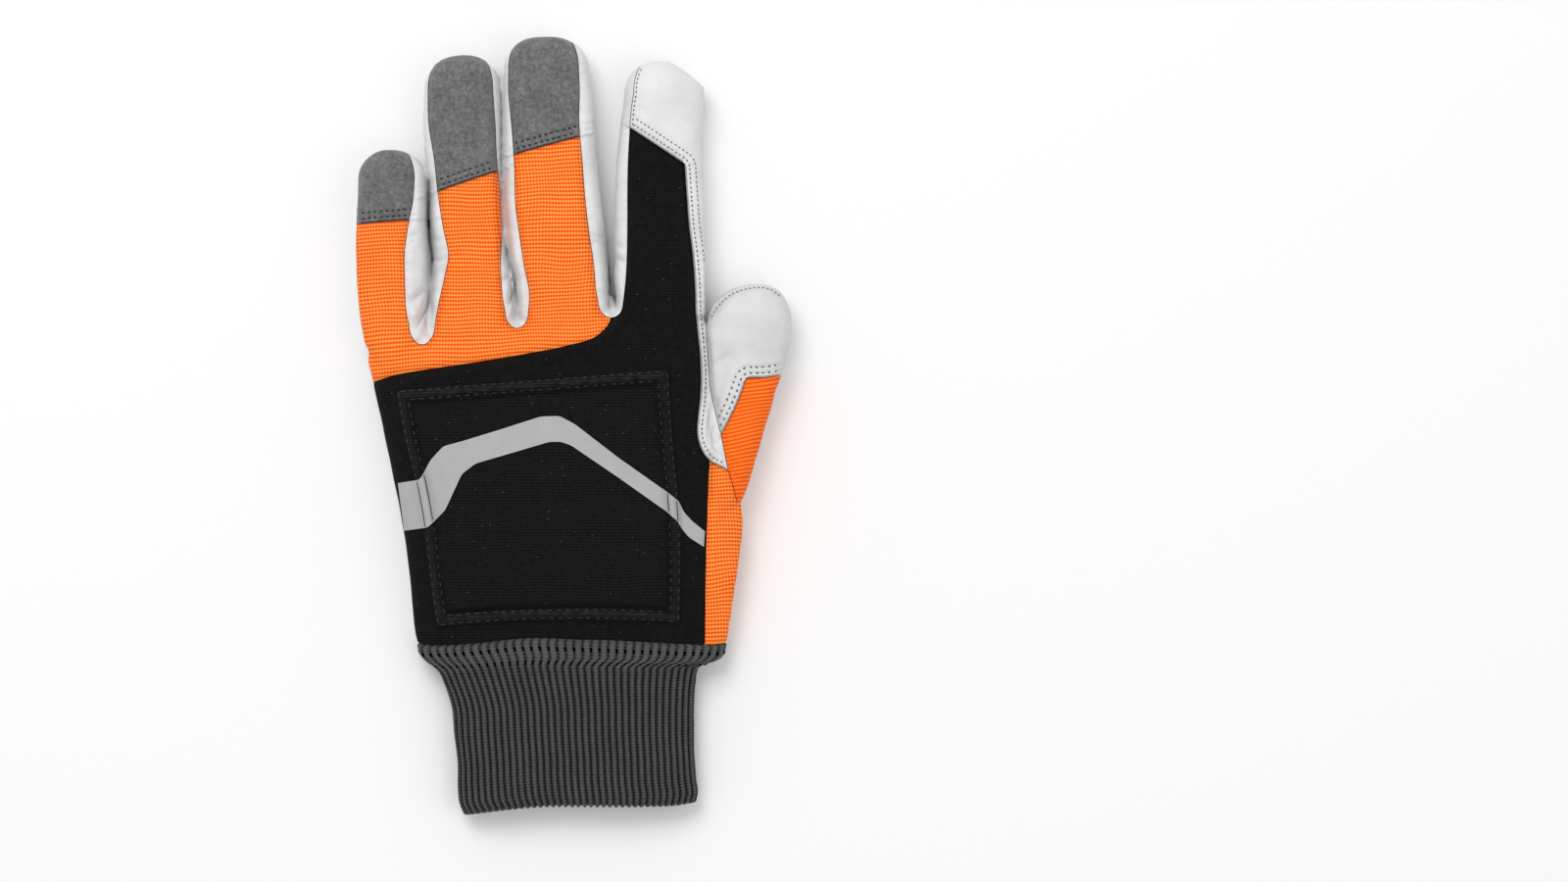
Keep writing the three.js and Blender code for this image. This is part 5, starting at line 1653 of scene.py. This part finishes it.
hemRows = [shiftLine(line, by) for line in suedeHems for by in hemLook["stitchRows"]]
tipTree = surfaceTree(named["littleFingerTip"], named["ringFingerTip"], named["middleFingerTip"])
hemThread = threads["darkGreyThread"]
sewRow("fingerHemStitches", hemRows, tipTree, "grey_suede", hemThread, **stitchLook["fingerHem"])
indexTree = surfaceTree(named["indexLeather"])
first, second = hemLook["stitchRows"]
indexRows = [shiftLine(indexHem, first), shiftLine(indexHem[:50], second), shiftLine(tipSeam[:-2], -0.9)]
thumbTree = surfaceTree(named["thumbLeather"])
thumbRows = [shiftLine(thumbHem, by) for by in hemLook["stitchRows"]]
for name, rows, tree, look in (
    ("indexStitches", indexRows, indexTree, stitchLook["index"]),
    ("thumbStitches", thumbRows, thumbTree, stitchLook["thumb"]),
    ("thumbTopStitches", [shiftLine(thumbTop, -0.5)], thumbTree, stitchLook["thumbTop"]),
):
    sewRow(name, rows, tree, "white_leather", threads["whiteThreadHoleShade"], **look)

# Raw edges of the hems, as thin cords whose darker colour is partly the edges' own and partly painted shade
look = cordLook["suedeHem"]
suedeEdges = layPaths([shiftLine(line, look["aside"]) for line in suedeHems], tipTree, look["lift"])
makeCords("suedeHemEdges", suedeEdges, "grey_suede", threads["suedeEdge"], look["radius"])
look = cordLook["leatherHem"]
leatherEdges = []
for hemLine, tree in ((indexHem, indexTree), (thumbHem, thumbTree)):
    leatherEdges += layPaths([shiftLine(hemLine, look["aside"])], tree, look["lift"], 0.6)
makeCords("leatherHemEdges", leatherEdges, "white_leather", threads["leatherEdge"], look["radius"])

places = []
for share in cuff["stitchRows"]:
    ring, _ = cuffRing(share, 0.0)
    ahead, _ = cuffRing(share + 0.02, 0.0)
    for k in range(cuff["perRib"] // 2, ringSize, cuff["perRib"]):
        before, here, after = [Vector(ring[n % ringSize]) for n in (k - 4, k, k + 4)]
        along = (Vector(ahead[k]) - here).normalized()
        up = along.cross(after - before).normalized()
        if up.z < 0:
            up = -up
        if here.z > cuff["stitchFrom"]:
            places.append((here + up * cuff["stitchLift"], along, up))
# The cuff's stitch marks are near-black capsules with no highlight, in its rib grooves: painted shade of
# the stitch holes
holeDark = threads["cuffHoleShade"]
holeDark.node_tree.nodes["Principled BSDF"].inputs["Specular IOR Level"].default_value = 0
makeStitches("cuffStitches", places, "cuff_knit", holeDark, **stitchLook["cuff"])

print("glove: camera, floor and light")
view = {
    "centreX": 71.5, "centreY": -5.67, "height": 2012.0, "focusZ": 12.0,
    "frameWidth": 533.3, "sensor": 36.0,
}
# The lamps: name, place, size, energy. The floor and the world: inputs of their nodes
studio = {
    "lamps": [("key", (-0.4, 0.85, 1.35), 0.9, 12.5), ("fill", (1.1, -0.4, 1.3), 1.4, 4.0)],
    "floorSize": 6.0, "floor": {"Base Color": (0.86, 0.86, 0.86, 1), "Roughness": 0.9},
    "world": {"Color": (1, 1, 1, 1), "Strength": 0.72},
}
camera = bpy.data.objects.new("camera", bpy.data.cameras.new("camera"))
scene.collection.objects.link(camera)
camera.location = (view["centreX"] * mm, view["centreY"] * mm, view["height"] * mm)
camera.data.sensor_width = view["sensor"]
camera.data.lens = view["sensor"] * (view["height"] - view["focusZ"]) / view["frameWidth"]
camera.data.clip_end = 20
scene.camera = camera

bpy.ops.object.select_all(action="DESELECT")
bpy.ops.mesh.primitive_plane_add(size=studio["floorSize"], location=(0, 0, 0))
floor = bpy.context.active_object
floor.name = "floor"
floorMaterial = bpy.data.materials.new("paleFloor")
floorMaterial.use_nodes = True
setInputs(floorMaterial.node_tree.nodes["Principled BSDF"], studio["floor"])
floor.data.materials.append(floorMaterial)

world = bpy.data.worlds.new("studio")
world.use_nodes = True
setInputs(world.node_tree.nodes["Background"], studio["world"])
scene.world = world
for name, place, size, energy in studio["lamps"]:
    lamp = bpy.data.objects.new(name, bpy.data.lights.new(name, "AREA"))
    lamp.data.size = size
    lamp.data.energy = energy
    lamp.location = place
    lamp.rotation_euler = (-Vector(place)).to_track_quat("-Z", "Y").to_euler()
    scene.collection.objects.link(lamp)
scene.view_settings.view_transform = "Standard"
